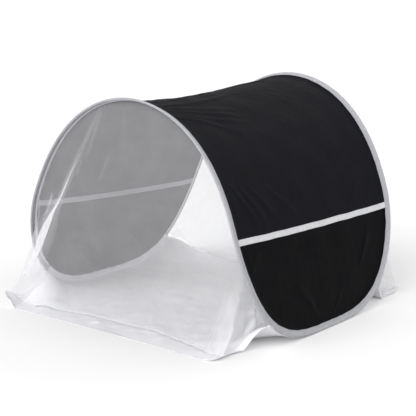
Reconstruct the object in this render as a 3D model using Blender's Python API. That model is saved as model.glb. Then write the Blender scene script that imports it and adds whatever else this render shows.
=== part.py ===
"""Bed tent: a saddle-shaped black canopy on one sprung hoop, closed by sheer nets.

Frame: metres, +Z up, +Y from the front opening to the rear one, +X to the right as seen
from the front. The origin is on the floor, midway between the feet.

The canopy is drawn flat first. In the flat drawing, `arc` runs across the tent from foot to
foot, zero at the ridge, and `y` runs along the tent. The hoop is the outline of that flat
drawing, a long oval. The drawing is then wrapped over the arch, and sags between the rims.
"""

import math

import bmesh
import bpy
import numpy as np

MM = 0.001
FRONT = -1
REAR = 1
LEFT = -1
RIGHT = 1

# Arch and hoop
FLOOR_WIDTH = 0.850
ARCH_HEIGHT = 0.658
HOOP_LENGTH = 0.828
WALL_ANGLE = math.radians(85.5)
CROWN_SHARE = 0.48
CROWN_SAG = 25.0 * MM
FOOT_ROUND = 0.347
FOOT_ROUND_POWERS = (1.8, 3.3)
FOOT_FLAT = 60.0 * MM
WIRE_DIAMETER = 3.4 * MM
WIRE_END_GAP = 0.8 * MM

# Hoop joint
FERRULE_LENGTH = 46.0 * MM
FERRULE_WALL = 0.4 * MM

# Hoop binding: tape folded round the wire, with a leaf on each face of the canopy
BINDING_WIDTH = 22.0 * MM
BINDING_THICKNESS = 0.7 * MM
BINDING_EASE = 0.5 * MM
BINDING_THROAT = 2.9 * MM

# Canopy
CLOTH_THICKNESS = 1.0 * MM
CANOPY_EDGE_GAP = 2.4 * MM
SEAM_HEIGHTS = {
    (FRONT, LEFT): 0.308,
    (FRONT, RIGHT): 0.313,
    (REAR, LEFT): 0.258,
    (REAR, RIGHT): 0.292,
}
SEAM_GAP = 0.6 * MM
SEAM_TAPE_WIDTH = 20.0 * MM
SEAM_TAPE_THICKNESS = 0.6 * MM

# End nets
NET_THICKNESS = 0.8 * MM
NET_EDGE_MARGIN = 1.0 * MM
NET_EDGE_TAPE_WIDTH = 8.0 * MM
NET_EDGE_TAPE_THICKNESS = 0.6 * MM
NET_HEM_WIDTH = 10.0 * MM
NET_HEM_THICKNESS = 0.8 * MM
NET_HEM_SETBACK = 32.0 * MM
NET_CORNER_SHARE = 0.86
NET_CORNER_REACH = 0.955
NET_CLIMB_SHARE = 0.2
NET_DESCENT_SHARE = 0.55
NET_FLAP_REACH = 0.9
NET_FLAP_STEP = 27.0 * MM
NET_SPREAD_POWER = 1.15
NET_TIE_STEP = 20.0 * MM
NET_TIE_LIFT = 9.0 * MM
NET_TIE_RISE = 26.0 * MM
NET_BELLY = 12.0 * MM
NET_FOLD_DEPTH = 9.0 * MM
NET_FOLDS = 7
NET_FOLD_PEAK = 1.15
NET_FLAT_EDGE_POWER = 6
NET_TENSION_DEPTH = 14.0 * MM
NET_TENSION_WIDTH = 45.0 * MM
NET_TENSION_TOP = (-0.36, 0.93)
NET_TENSION_FOOT = (-0.88, 0.30)

# Base sheet. Each corner has its inset from the feet, and its flap's lean and rise
BASE_CORNERS = {
    (FRONT, LEFT): (35.0 * MM, 26.0 * MM, 38.0 * MM),
    (FRONT, RIGHT): (88.0 * MM, 12.0 * MM, 16.0 * MM),
    (REAR, LEFT): (37.0 * MM, 14.0 * MM, 30.0 * MM),
    (REAR, RIGHT): (34.0 * MM, 10.0 * MM, 22.0 * MM),
}
BASE_FLAP_SHARE = 0.7
BASE_END_MARGIN = 61.0 * MM
BASE_THICKNESS = 1.2 * MM
BASE_EDGE_BOW = 56.0 * MM
BASE_BOW_POWER = 5
BASE_UPSTAND = 15.0 * MM
BASE_EDGE_EASE = 1.8 * MM
BASE_LIFT_SHARE = 0.32
BASE_LIFT_POWER = 1.5
BASE_FLARE_POWER = 4
BASE_DROP_SHARE = 0.38
BASE_HEM_WIDTH = 12.0 * MM
BASE_HEM_THICKNESS = 0.8 * MM

# Tie loops
TIE_HEIGHT = 0.072
TIE_LOOP_LENGTH = 26.0 * MM
TIE_LOOP_DEPTH = 8.4 * MM
TIE_LOOP_BAND = 2.6 * MM
TIE_LOOP_WIDTH = 5.0 * MM

# Clearance between pieces that lie on each other
SEAT_GAP = 0.3 * MM

# Mesh steps
TABLE_STEPS = 1600
CROWN_ROWS = 30
WALL_ROWS = 6
FOOT_ROWS = 7
INNER_COLUMNS = 12
NET_ROWS = 8
NET_END_SPANS = 4
NET_END_SPLITS = 3
BASE_FREE_ROWS = 4
BASE_COLUMNS = 16
BOW_PASSES = 12
FERRULE_SIDES = 12
BINDING_TURN = (80.0, 130.0, 180.0, 230.0, 280.0)
SLOT_END_STEPS = 5

# Finishes: name, linear colour, roughness, metallic
STEEL = ("spring_steel", (0.42, 0.43, 0.45), 0.35, 1.0)
BLACK_CLOTH = ("black_canopy_cloth", (0.012, 0.012, 0.014), 0.85, 0.0)
GREY_TAPE = ("grey_binding_tape", (0.40, 0.40, 0.43), 0.80, 0.0)
LIGHT_TAPE = ("light_seam_tape", (0.48, 0.48, 0.50), 0.80, 0.0)
WHITE_TAPE = ("white_tape", (0.80, 0.80, 0.82), 0.75, 0.0)
WHITE_NET = ("white_sheer_net", (0.74, 0.74, 0.78), 0.80, 0.0)
WHITE_SHEET = ("white_base_sheet", (0.78, 0.78, 0.80), 0.80, 0.0)

SIDE_NAMES = {LEFT: "left", RIGHT: "right"}
END_NAMES = {FRONT: "front", REAR: "rear"}

FERRULE_BORE = WIRE_DIAMETER + 2 * SEAT_GAP
BINDING_BORE = FERRULE_BORE + 2 * (FERRULE_WALL + BINDING_EASE)
BEAD_RADIUS = BINDING_BORE / 2 + BINDING_THICKNESS
BINDING_LEAF_ROOT = BEAD_RADIUS + BINDING_THROAT
CANOPY_EDGE_INSET = BEAD_RADIUS + CANOPY_EDGE_GAP
NET_EDGE_INSET = BINDING_WIDTH - NET_EDGE_MARGIN - NET_EDGE_TAPE_WIDTH / 2
BASE_LENGTH = HOOP_LENGTH + 2 * BASE_END_MARGIN
SLOT_HALF = CLOTH_THICKNESS / 2 + SEAT_GAP
LEAF_FACE = SLOT_HALF + BINDING_THICKNESS
HALF_LENGTH = HOOP_LENGTH / 2
UP = np.array([0.0, 0.0, 1.0])


def clear_scene():
    """Empty the scene of its objects."""
    for obj in list(bpy.data.objects):
        bpy.data.objects.remove(obj, do_unlink=True)


def material(finish):
    """Plain principled material of a (name, colour, roughness, metallic) finish."""
    name, colour, roughness, metallic = finish
    found = bpy.data.materials.get(name)
    if found:
        return found
    made = bpy.data.materials.new(name)
    made.use_nodes = True
    shader = made.node_tree.nodes["Principled BSDF"]
    shader.inputs["Base Color"].default_value = (*colour, 1.0)
    shader.inputs["Roughness"].default_value = roughness
    shader.inputs["Metallic"].default_value = metallic
    return made


def add_object(name, data, finish):
    """Link a mesh or curve as a named object with one material."""
    obj = bpy.data.objects.new(name, data)
    obj.data.materials.append(material(finish))
    bpy.context.scene.collection.objects.link(obj)
    return obj


def unit(vectors):
    """Vectors of length one, along the last axis."""
    return vectors / np.linalg.norm(vectors, axis=-1, keepdims=True)


def smooth_step(value):
    """Ease from 0 to 1 over 0..1: 3t^2 - 2t^3."""
    t = np.clip(value, 0.0, 1.0)
    return t * t * (3.0 - 2.0 * t)


def running_length(points):
    """Length along a row of points, starting from zero."""
    return np.concatenate([[0.0], np.cumsum(np.linalg.norm(np.diff(points, axis=0), axis=1))])


# The arch: the section across the tent

def arch_table():
    """Half section from the ridge to a foot: arc length, x, z, normal and curvature.

    The slope grows as WALL_ANGLE * tanh(q / CROWN_SHARE) while q goes from 0 to 1, so the
    crown is round and the walls are nearly straight. x is the integral of cos(slope) and
    the drop is the integral of sin(slope), each scaled to its driving size.
    """
    q = np.linspace(0.0, 1.0, TABLE_STEPS)
    slope = WALL_ANGLE * np.tanh(q / CROWN_SHARE)
    x = np.concatenate([[0.0], np.cumsum(np.cos(slope[1:]) + np.cos(slope[:-1]))])
    drop = np.concatenate([[0.0], np.cumsum(np.sin(slope[1:]) + np.sin(slope[:-1]))])
    wide = FLOOR_WIDTH / 2 / x[-1]
    tall = ARCH_HEIGHT / drop[-1]
    section = np.stack([x * wide, BEAD_RADIUS + SEAT_GAP + ARCH_HEIGHT - tall * drop], axis=-1)
    arc = running_length(section)
    turn = np.arctan2(tall * np.sin(slope), wide * np.cos(slope))
    curvature = np.gradient(turn, arc)
    return arc, section[:, 0], section[:, 1], np.sin(turn), np.cos(turn), curvature


ARC, ARCH_X, ARCH_Z, NORMAL_X, NORMAL_Z, CURVATURE = arch_table()
HALF_ARC = float(ARC[-1])


def arch(arc):
    """Point, outward normal and curvature of the section at signed arc lengths."""
    size = np.abs(arc)
    side = np.sign(arc)
    x = side * np.interp(size, ARC, ARCH_X)
    z = np.interp(size, ARC, ARCH_Z)
    normal_x = side * np.interp(size, ARC, NORMAL_X)
    normal_z = np.interp(size, ARC, NORMAL_Z)
    return x, z, normal_x, normal_z, np.interp(size, ARC, CURVATURE)


def arc_at_height(height):
    """Arc length from the ridge at which the section is at a height."""
    return float(np.interp(-height, -ARCH_Z, ARC))


# The flat oval: half length of the canopy against arc length

def round_share(arc):
    """How far an arc length lies into the rounding of a foot, 0 to 1."""
    return np.clip((np.abs(arc) - (HALF_ARC - FOOT_ROUND)) / FOOT_ROUND, 0.0, 1.0)


def half_length(arc):
    """Half length of the flat oval: HALF_LENGTH * (1 - u^p)^(1/q) in the rounding."""
    power_in, power_out = FOOT_ROUND_POWERS
    return HALF_LENGTH * (1.0 - round_share(arc) ** power_in) ** (1.0 / power_out)


def half_length_slope(arc):
    """Rate of change of half_length along the arc, kept finite at the foot itself."""
    power_in, power_out = FOOT_ROUND_POWERS
    u = np.minimum(round_share(arc), 1.0 - 1.0 / TABLE_STEPS ** 2)
    body = (1.0 - u ** power_in) ** (1.0 / power_out - 1.0)
    slope = -HALF_LENGTH * power_in / power_out * u ** (power_in - 1.0) * body / FOOT_ROUND
    return slope * np.sign(arc)


def arc_at_half_length(length):
    """Arc length in the rounding at which the oval has a half length."""
    power_in, power_out = FOOT_ROUND_POWERS
    ratio = np.minimum(np.abs(length) / HALF_LENGTH, 1.0)
    return HALF_ARC - FOOT_ROUND * (1.0 - (1.0 - ratio ** power_out) ** (1.0 / power_in))


FOOT_ARC = float(arc_at_half_length(FOOT_FLAT / 2))
TIE_ARC = arc_at_height(TIE_HEIGHT)


def surface(arc, y):
    """Canopy point over a flat point: the arch, less the sag between the rims.

    The sag is deepest where the arch is most curved, as in any stretched saddle:
    CROWN_SAG * (curvature / ridge curvature) * (half length / full)^2 * (1 - v^2).
    """
    x, z, normal_x, normal_z, curvature = arch(arc)
    reach = np.maximum(half_length(arc), FOOT_FLAT / 2)
    across = np.clip(y / reach, -1.0, 1.0)
    depth = CROWN_SAG * curvature / CURVATURE[0] * (reach / HALF_LENGTH) ** 2
    sag = depth * (1.0 - across ** 2)
    return np.stack([x - normal_x * sag, y + 0.0 * x, z - normal_z * sag], axis=-1)


def inset_points(arc, end, inset):
    """Flat points a distance inside the oval's front or rear edge."""
    slope = half_length_slope(arc)
    length = np.hypot(slope, 1.0)
    flat_arc = arc + inset * slope / length
    flat_y = end * half_length(arc) - end * inset / length
    return flat_arc, flat_y


def side_arcs(end, side):
    """Arc lengths of the mesh rows from a seam down to a foot.

    The rows above the tie are even along the arc. Those below it are even along y, and are
    the same at all four corners, so that the base sheet's edge meets every one of them.
    """
    seam = arc_at_height(SEAM_HEIGHTS[end, side])
    wall = np.linspace(seam, TIE_ARC - NET_TIE_RISE, WALL_ROWS)
    foot = arc_at_half_length(np.linspace(half_length(TIE_ARC), FOOT_FLAT / 2, FOOT_ROWS + 1))
    return np.concatenate([wall, foot])


def crown_arcs(end):
    """Arc lengths of the mesh rows from the left seam over to the right one."""
    left, right = (arc_at_height(SEAM_HEIGHTS[end, side]) for side in (LEFT, RIGHT))
    return np.linspace(-left, right, CROWN_ROWS + 1)


def rim_arcs(end):
    """Arc lengths of all stations along one rim, left foot to right foot."""
    left = -side_arcs(end, LEFT)[::-1]
    return np.concatenate([left, crown_arcs(end)[1:-1], side_arcs(end, RIGHT)])


# Frames along the hoop

class Rim:
    """Points and frames along the hoop's front or rear half, foot to foot.

    inward points along the cloth away from the wire, outward points out of the canopy.
    """

    def __init__(self, end):
        arcs = rim_arcs(end)
        flat_arc, flat_y = inset_points(arcs, end, 0.0)
        in_arc, in_y = inset_points(arcs, end, BINDING_WIDTH)
        middle = end * WIRE_END_GAP / 2
        flat_arc = np.concatenate([[-FOOT_ARC], flat_arc, [FOOT_ARC]])
        flat_y = np.concatenate([[middle], flat_y, [middle]])
        in_arc = np.concatenate([[BINDING_WIDTH - FOOT_ARC], in_arc, [FOOT_ARC - BINDING_WIDTH]])
        in_y = np.concatenate([[middle], in_y, [middle]])
        self.end = end
        self.point = surface(flat_arc, flat_y)
        along = unit(np.gradient(self.point, axis=0))
        into = surface(in_arc, in_y) - self.point
        into -= along * np.sum(into * along, axis=1, keepdims=True)
        self.along = along
        self.inward = unit(into)
        outward = np.cross(along, self.inward)
        x, z, normal_x, normal_z, _ = arch(flat_arc)
        facing = outward[:, 0] * normal_x + outward[:, 2] * normal_z
        self.outward = outward * np.sign(facing)[:, None]

    def offset(self, inward, outward, rows=slice(None)):
        """Points beside the wire, by their place in each station's frame."""
        return (
            self.point[rows]
            + self.inward[rows] * inward
            + self.outward[rows] * outward
        )

    def tie_station(self, side):
        """Station of the tie loop on one side."""
        steps = FOOT_ROWS + 1
        return steps if side == LEFT else len(self.point) - 1 - steps

    def between_ties(self):
        """Stations of the arch above the two tie loops."""
        return slice(self.tie_station(LEFT) + 1, self.tie_station(RIGHT))


# Mesh builders

def mesh_from(name, vertices, faces):
    """Mesh with its faces turned outward."""
    made = bmesh.new()
    added = [made.verts.new(tuple(vertex)) for vertex in vertices]
    for face in faces:
        made.faces.new([added[index] for index in face])
    bmesh.ops.recalc_face_normals(made, faces=made.faces)
    mesh = bpy.data.meshes.new(name)
    made.to_mesh(mesh)
    made.free()
    mesh.shade_smooth()
    return mesh


def grid_faces(rows, columns):
    """Quads over a grid of rows by columns of points."""
    first = np.arange(rows - 1)[:, None] * columns + np.arange(columns - 1)[None, :]
    corners = np.stack([first, first + 1, first + columns + 1, first + columns], axis=-1)
    return corners.reshape(-1, 4).tolist()


def cloth(name, points, thickness, finish):
    """Sheet over a grid of points, thickened evenly to both sides."""
    rows, columns = points.shape[:2]
    mesh = bpy.data.meshes.new(name)
    mesh.from_pydata(points.reshape(-1, 3).tolist(), [], grid_faces(rows, columns))
    mesh.shade_smooth()
    obj = add_object(name, mesh, finish)
    shell = obj.modifiers.new("Cloth", "SOLIDIFY")
    shell.thickness = thickness
    shell.offset = 0.0


def ring_faces(rings, closed):
    """Quads between matching rings of points, and round to the first ring if closed."""
    bands, count = rings.shape[:2]
    faces = []
    for band in range(bands if closed else bands - 1):
        start = band * count
        after = (band + 1) % bands * count
        for index in range(count):
            ahead = (index + 1) % count
            faces.append((start + index, start + ahead, after + ahead, after + index))
    return faces


def sweep(name, rings, finish):
    """Closed bar through a row of matching rings, with flat ends."""
    bands, count = rings.shape[:2]
    faces = ring_faces(rings, closed=False)
    faces.append(tuple(range(count)))
    faces.append(tuple(range((bands - 1) * count, bands * count)))
    add_object(name, mesh_from(name, rings.reshape(-1, 3), faces), finish)


def sleeve(name, rings, finish):
    """Open-ended sleeve through four rings: outer, outer, inner and inner."""
    faces = ring_faces(rings, closed=True)
    add_object(name, mesh_from(name, rings.reshape(-1, 3), faces), finish)


def strip(name, edge_a, edge_b, lift, thickness, finish):
    """Flat tape between two rows of points, as thick as asked along `lift`."""
    high = lift * thickness
    sweep(name, np.stack([edge_a, edge_b, edge_b + high, edge_a + high], axis=1), finish)


def ring_of(centre, axis_a, axis_b, radius, sides):
    """Round ring of points about a centre, in the plane of two axes."""
    angle = np.linspace(0.0, 2.0 * np.pi, sides, endpoint=False)[:, None]
    return centre + radius * (axis_a * np.cos(angle) + axis_b * np.sin(angle))


# Hoop

def build_hoop(rims):
    """Spring wire in one length, its ends butted in a crimped ferrule at the left foot."""
    path = np.concatenate([rims[FRONT].point, rims[REAR].point[::-1]])
    curve = bpy.data.curves.new("hoop_wire", "CURVE")
    curve.dimensions = "3D"
    curve.bevel_depth = WIRE_DIAMETER / 2
    curve.bevel_resolution = 1
    curve.use_fill_caps = True
    spline = curve.splines.new("POLY")
    spline.points.add(len(path) - 1)
    for point, place in zip(spline.points, path):
        point.co = (*place, 1.0)
    add_object("hoop_wire", curve, STEEL)

    bore = FERRULE_BORE / 2
    joint = path[0] * np.array([1.0, 0.0, 1.0])
    across = np.array([1.0, 0.0, 0.0])
    rings = []
    for radius, end in ((bore + FERRULE_WALL, FRONT), (bore + FERRULE_WALL, REAR),
                        (bore, REAR), (bore, FRONT)):
        centre = joint + np.array([0.0, end * FERRULE_LENGTH / 2, 0.0])
        rings.append(ring_of(centre, across, UP, radius, FERRULE_SIDES))
    sleeve("hoop_ferrule", np.stack(rings), STEEL)


def binding_profile():
    """Folded tape in the plane (inward, outward): round the wire, then two leaves."""
    bore = BINDING_BORE / 2
    turns = np.radians(BINDING_TURN)
    outer = [(BEAD_RADIUS * math.cos(turn), BEAD_RADIUS * math.sin(turn)) for turn in turns]
    inner = [(bore * math.cos(turn), bore * math.sin(turn)) for turn in turns]
    tip = BINDING_WIDTH
    root = BINDING_LEAF_ROOT
    profile = [(tip, LEAF_FACE), (root, LEAF_FACE), *outer, (root, -LEAF_FACE), (tip, -LEAF_FACE)]
    profile += [(tip, -SLOT_HALF), (root, -SLOT_HALF)]
    return np.array(profile + [*inner[::-1], (root, SLOT_HALF), (tip, SLOT_HALF)])


def build_binding(rim):
    """Grey tape folded round one half of the hoop, from foot to foot."""
    profile = binding_profile()
    rings = (
        rim.point[:, None, :]
        + rim.inward[:, None, :] * profile[None, :, :1]
        + rim.outward[:, None, :] * profile[None, :, 1:]
    )
    sweep("hoop_binding_" + END_NAMES[rim.end], rings, GREY_TAPE)


# Canopy

def panel_rows(arc_front, arc_rear):
    """Canopy points over matching front and rear stations, one row for each pair.

    The two columns at each end lie straight in the binding's slot.
    """
    edge = CANOPY_EDGE_INSET
    leaf = BINDING_WIDTH + 2 * SEAT_GAP
    flat = [inset_points(arc_front, FRONT, edge), inset_points(arc_front, FRONT, leaf)]
    last = [inset_points(arc_rear, REAR, leaf), inset_points(arc_rear, REAR, edge)]
    for share in np.arange(1, INNER_COLUMNS) / INNER_COLUMNS:
        middle_arc = flat[1][0] + (last[0][0] - flat[1][0]) * share
        middle_y = flat[1][1] + (last[0][1] - flat[1][1]) * share
        flat.append((middle_arc, middle_y))
    flat += last
    return np.stack([surface(flat_arc, flat_y) for flat_arc, flat_y in flat], axis=1)


def build_canopy():
    """Three black panels that butt under the seam tapes, and the tapes themselves."""
    crown = panel_rows(crown_arcs(FRONT), crown_arcs(REAR))
    for side in (LEFT, RIGHT):
        panel = panel_rows(side * side_arcs(FRONT, side), side * side_arcs(REAR, side))
        build_seam_tapes(side, crown if side == LEFT else crown[::-1], panel)
        panel[0] += unit(panel[1] - panel[0]) * SEAM_GAP / 2
        cloth("canopy_side_" + SIDE_NAMES[side], panel, CLOTH_THICKNESS, BLACK_CLOTH)
    for row, inner in ((0, 1), (-1, -2)):
        crown[row] += unit(crown[inner] - crown[row]) * SEAM_GAP / 2
    cloth("canopy_crown", crown, CLOTH_THICKNESS, BLACK_CLOTH)


def build_seam_tapes(side, crown, panel):
    """Tape over one panel seam, outside and inside, stopping at the binding's leaves."""
    columns = slice(1, -1)
    seam = panel[0, columns]
    half = SEAM_TAPE_WIDTH / 2
    upper = seam + unit(crown[1, columns] - seam) * half
    lower = seam + unit(panel[1, columns] - seam) * half
    grid = np.stack([upper, seam, lower], axis=0)
    along = unit(np.gradient(seam, axis=0))
    outward = unit(np.cross(along, upper - lower))
    outward *= np.sign(outward[:, :1] * side)
    seat = CLOTH_THICKNESS / 2 + SEAT_GAP + SEAM_TAPE_THICKNESS / 2
    for face, place in (("outer", seat), ("inner", -seat)):
        name = "seam_tape_%s_%s" % (face, SIDE_NAMES[side])
        cloth(name, grid + outward[None] * place, SEAM_TAPE_THICKNESS, LIGHT_TAPE)


# Base sheet

class BaseSheet:
    """The sheet on the floor. Its side edges follow the hoop's feet between the ties.

    There each edge is turned up and lies on the binding's inner leaf. Past the ties it
    leaves the hoop, drops to the floor and runs out to the corner as a low leaning flap.
    """

    def __init__(self, rims):
        self.feet = {}
        self.tips = {}
        for side in (LEFT, RIGHT):
            self.feet[side], self.tips[side] = self.side_edge(rims, side)

    def side_edge(self, rims, side):
        """Feet and tips of one side edge, front to rear, with x measured outward."""
        thick = BASE_THICKNESS / 2
        half_base = BASE_LENGTH / 2
        feet = []
        tips = []
        for rim, order in ((rims[FRONT], 1), (rims[REAR], -1)):
            rows = slice(rim.tie_station(RIGHT), len(rim.point) - (rim.end == FRONT))
            foot = rim.offset(-BEAD_RADIUS, -BEAD_RADIUS - BASE_EDGE_EASE, rows)
            foot[:, 2] = np.maximum(foot[:, 2], thick)
            tip = rim.offset(BASE_UPSTAND, -LEAF_FACE - SEAT_GAP - thick, rows)
            feet.append(foot[::order])
            tips.append(tip[::order])
        past = np.linspace(0.0, 1.0, BASE_FREE_ROWS + 1)[1:]
        for end, held in ((FRONT, feet[0][0]), (REAR, feet[-1][-1])):
            inset, lean, rise = BASE_CORNERS[end, side]
            corner = FLOOR_WIDTH / 2 - inset
            flap = np.array([lean, 0.0, rise])
            free = np.stack([
                corner + (held[0] - corner) * (1.0 - past) ** BASE_FLARE_POWER,
                held[1] + (end * half_base - held[1]) * past,
                thick + (held[2] - thick) * (1.0 - smooth_step(past / BASE_DROP_SHARE)),
            ], axis=-1)
            place = 0 if end == FRONT else len(feet)
            feet.insert(place, free[::end])
            grown = smooth_step(past / BASE_FLAP_SHARE)[:, None]
            tips.insert(place, (free + flap * grown)[::end])
        return np.concatenate(feet), np.concatenate(tips)

    def edge_at(self, edges, side, y):
        """Points of a side's feet or tips at given y of the feet, with x outward."""
        rows = self.feet[side][:, 1]
        return np.stack([np.interp(y, rows, edges[side][:, axis]) for axis in range(3)], axis=-1)

    def bow(self, across, y):
        """How far the sheet is drawn in along y: it grows to BASE_EDGE_BOW at mid end."""
        share = np.abs(y) / (BASE_LENGTH / 2)
        return BASE_EDGE_BOW * (1.0 - across ** 2) * share ** BASE_BOW_POWER

    def point(self, across, y):
        """Points of the sheet's middle layer: across is -1..1 between its edges' feet."""
        left = self.edge_at(self.feet, LEFT, y)
        right = self.edge_at(self.feet, RIGHT, y)
        foot_x, _, foot_z = np.where(across[:, None] < 0.0, left, right).T
        inner = 1.0 - BASE_LIFT_SHARE
        rise = smooth_step((np.abs(across) - inner) / BASE_LIFT_SHARE) ** BASE_LIFT_POWER
        thick = BASE_THICKNESS / 2
        return np.stack([
            across * foot_x,
            y - np.sign(y) * self.bow(across, y),
            thick + (foot_z - thick) * rise,
        ], axis=-1)

    def point_at(self, across, y):
        """Point of the sheet whose own y, bow included, is the one given."""
        flat_y = y
        for _ in range(BOW_PASSES):
            flat_y = y + np.sign(y) * self.bow(across, flat_y)
        return self.point(across, flat_y)

    def flap_point(self, side, y):
        """Points above a corner flap's inner face, part of the way up to its tip."""
        mirror = np.array([side, 1.0, 1.0])
        foot = self.edge_at(self.feet, side, y) * mirror
        rise = self.edge_at(self.tips, side, y) * mirror - foot
        face = unit(np.stack([-side * rise[:, 2], 0.0 * y, np.abs(rise[:, 0])], axis=-1))
        gap = BASE_THICKNESS / 2 + SEAT_GAP + NET_HEM_THICKNESS / 2
        return foot + rise * NET_FLAP_REACH + face * gap

    def build(self):
        """White sheet on the floor, with a folded hem at each end, clear of the flaps."""
        rows = self.feet[RIGHT][:, 1]
        mirror = np.array([-1.0, 1.0, 1.0])
        columns = [self.tips[LEFT] * mirror, self.feet[LEFT] * mirror]
        for across in np.sin(np.linspace(-1.0, 1.0, BASE_COLUMNS + 1) * np.pi / 2)[1:-1]:
            columns.append(self.point(np.full(len(rows), across), rows))
        columns += [self.feet[RIGHT], self.tips[RIGHT]]
        grid = np.stack(columns, axis=1)
        cloth("base_sheet", grid, BASE_THICKNESS, WHITE_SHEET)
        for end, row, near in ((FRONT, 0, 1), (REAR, -1, -2)):
            edge = grid[row, 2:-2]
            into = unit(grid[near, 2:-2] - edge)
            lift = np.tile(UP, (len(edge), 1))
            seat = edge + lift * (BASE_THICKNESS / 2 + SEAT_GAP)
            name = "base_hem_" + END_NAMES[end]
            strip(name, seat, seat + into * BASE_HEM_WIDTH, lift, BASE_HEM_THICKNESS, WHITE_TAPE)


# End nets

def hem_line(base, rim, shares):
    """Where a net's lower edge lies on the base sheet, by share -1..1 from tie to tie.

    The middle run follows the sheet's end, set back from it. At each corner the line climbs
    the flap, and the short run behind it comes down again along the side to the tie.
    """
    across = NET_CORNER_REACH * np.clip(shares / NET_CORNER_SHARE, -1.0, 1.0)
    corner_y = BASE_LENGTH / 2 - BASE_EDGE_BOW * (1.0 - across ** 2) - NET_HEM_SETBACK
    back = np.clip((np.abs(shares) - NET_CORNER_SHARE) / (1.0 - NET_CORNER_SHARE), 0.0, 1.0)
    tie_y = abs(rim.point[rim.tie_station(RIGHT), 1]) + NET_TIE_STEP
    y = rim.end * (corner_y + (tie_y - corner_y) * back)
    point = base.point_at(across, y)
    point[:, 2] += BASE_THICKNESS / 2 + SEAT_GAP + NET_HEM_THICKNESS / 2
    point[:, 2] += NET_TIE_LIFT * smooth_step(2.0 * back)
    flap_y = y + rim.end * NET_FLAP_STEP * (1.0 - back)
    flaps = [base.flap_point(side, flap_y) for side in (LEFT, RIGHT)]
    flap = np.where(shares[:, None] < 0.0, *flaps)
    descent = smooth_step((back - NET_CLIMB_SHARE) / NET_DESCENT_SHARE)
    climb = smooth_step(back / NET_CLIMB_SHARE) * (1.0 - descent)
    return point + (flap - point) * climb[:, None]


def tension_fold(points, w):
    """Height of the long fold from the left shoulder to the left foot, over net points.

    The fold is a ridge of Gaussian section along a straight line in the plane (x, z).
    """
    scale = np.array([FLOOR_WIDTH / 2, ARCH_HEIGHT])
    top = np.array(NET_TENSION_TOP) * scale
    line = unit(np.array(NET_TENSION_FOOT) * scale - top)
    place = points[:, :, [0, 2]] - top
    away = place[..., 0] * line[1] - place[..., 1] * line[0]
    ridge = NET_TENSION_DEPTH * np.exp(-(away / NET_TENSION_WIDTH) ** 2)
    return ridge * np.sqrt(np.sin(np.pi * w))


def closer_ends(run):
    """Running lengths of a row, with its first and last spans split evenly."""
    spans = np.diff(run)
    ends = np.r_[:NET_END_SPANS, len(spans) - NET_END_SPANS:len(spans)]
    shares = np.arange(1, NET_END_SPLITS) / NET_END_SPLITS
    added = run[ends, None] + spans[ends, None] * shares
    return np.sort(np.concatenate([run, added.ravel()]))


def net_grid(base, rim):
    """Net from the binding's inner leaf down to its hem, its hem and the hem's shares.

    The folds deepen towards the hem as w * sin(pi w)^2 * sin(pi n u), over the net's width
    u of -1..1 and its drop w of 0..1.
    """
    rows = rim.between_ties()
    seat = LEAF_FACE + SEAT_GAP
    drop = seat + NET_EDGE_TAPE_THICKNESS + SEAT_GAP + NET_THICKNESS / 2
    edge = rim.offset(NET_EDGE_INSET, -drop, rows)
    edge_run = running_length(edge)
    run = closer_ends(edge_run)
    top = np.stack([np.interp(run, edge_run, axis) for axis in edge.T], axis=-1)
    shares = 2.0 * run / run[-1] - 1.0
    hem_shares = np.sign(shares) * np.abs(shares) ** NET_SPREAD_POWER
    hem = hem_line(base, rim, hem_shares)
    down = np.linspace(0.0, 1.0, NET_ROWS + 1)[:, None, None]
    grid = top[None] + (hem - top)[None] * down
    u = np.broadcast_to(shares[None, :], grid.shape[:2])
    w = np.broadcast_to(down[:, :, 0], grid.shape[:2])
    belly = NET_BELLY * np.sin(np.pi * w) * (1.0 - u ** 2)
    folds = NET_FOLD_DEPTH * w * np.sin(np.pi * np.minimum(w * NET_FOLD_PEAK, 1.0)) ** 2
    folds = folds * np.sin(np.pi * NET_FOLDS * u)
    free = 1.0 - np.abs(u) ** NET_FLAT_EDGE_POWER
    grid[:, :, 1] += rim.end * (belly + folds + tension_fold(grid, w)) * free
    return grid, hem, hem_shares


def build_net(base, rim):
    """Sheer end net with its sewing tape on the binding and its hem on the base sheet."""
    grid, hem, shares = net_grid(base, rim)
    name = END_NAMES[rim.end]
    cloth("net_" + name, grid, NET_THICKNESS, WHITE_NET)

    rows = rim.between_ties()
    half = NET_EDGE_TAPE_WIDTH / 2
    seat = -(LEAF_FACE + SEAT_GAP)
    tape_a = rim.offset(NET_EDGE_INSET - half, seat, rows)
    tape_b = rim.offset(NET_EDGE_INSET + half, seat, rows)
    lift = -rim.outward[rows]
    strip("net_edge_tape_" + name, tape_a, tape_b, lift, NET_EDGE_TAPE_THICKNESS, WHITE_TAPE)

    hem = hem[np.abs(shares) < NET_CORNER_SHARE]
    along = unit(np.gradient(hem, axis=0))
    away = unit(np.cross(along, UP)) * -rim.end
    gap = NET_THICKNESS / 2 + SEAT_GAP
    low = hem - UP * NET_HEM_THICKNESS / 2
    hem_a = low + away * gap
    hem_b = low + away * (gap + NET_HEM_WIDTH)
    strip("net_hem_" + name, hem_a, hem_b, UP, NET_HEM_THICKNESS, WHITE_TAPE)


# Tie loops

def slot_outline(length, depth):
    """Rounded slot outline about the origin, long way along the first axis."""
    radius = depth / 2
    straight = length / 2 - radius
    turns = np.linspace(-np.pi / 2, np.pi / 2, SLOT_END_STEPS)
    right = np.stack([straight + radius * np.cos(turns), radius * np.sin(turns)], axis=-1)
    return np.concatenate([right, -right])


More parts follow.
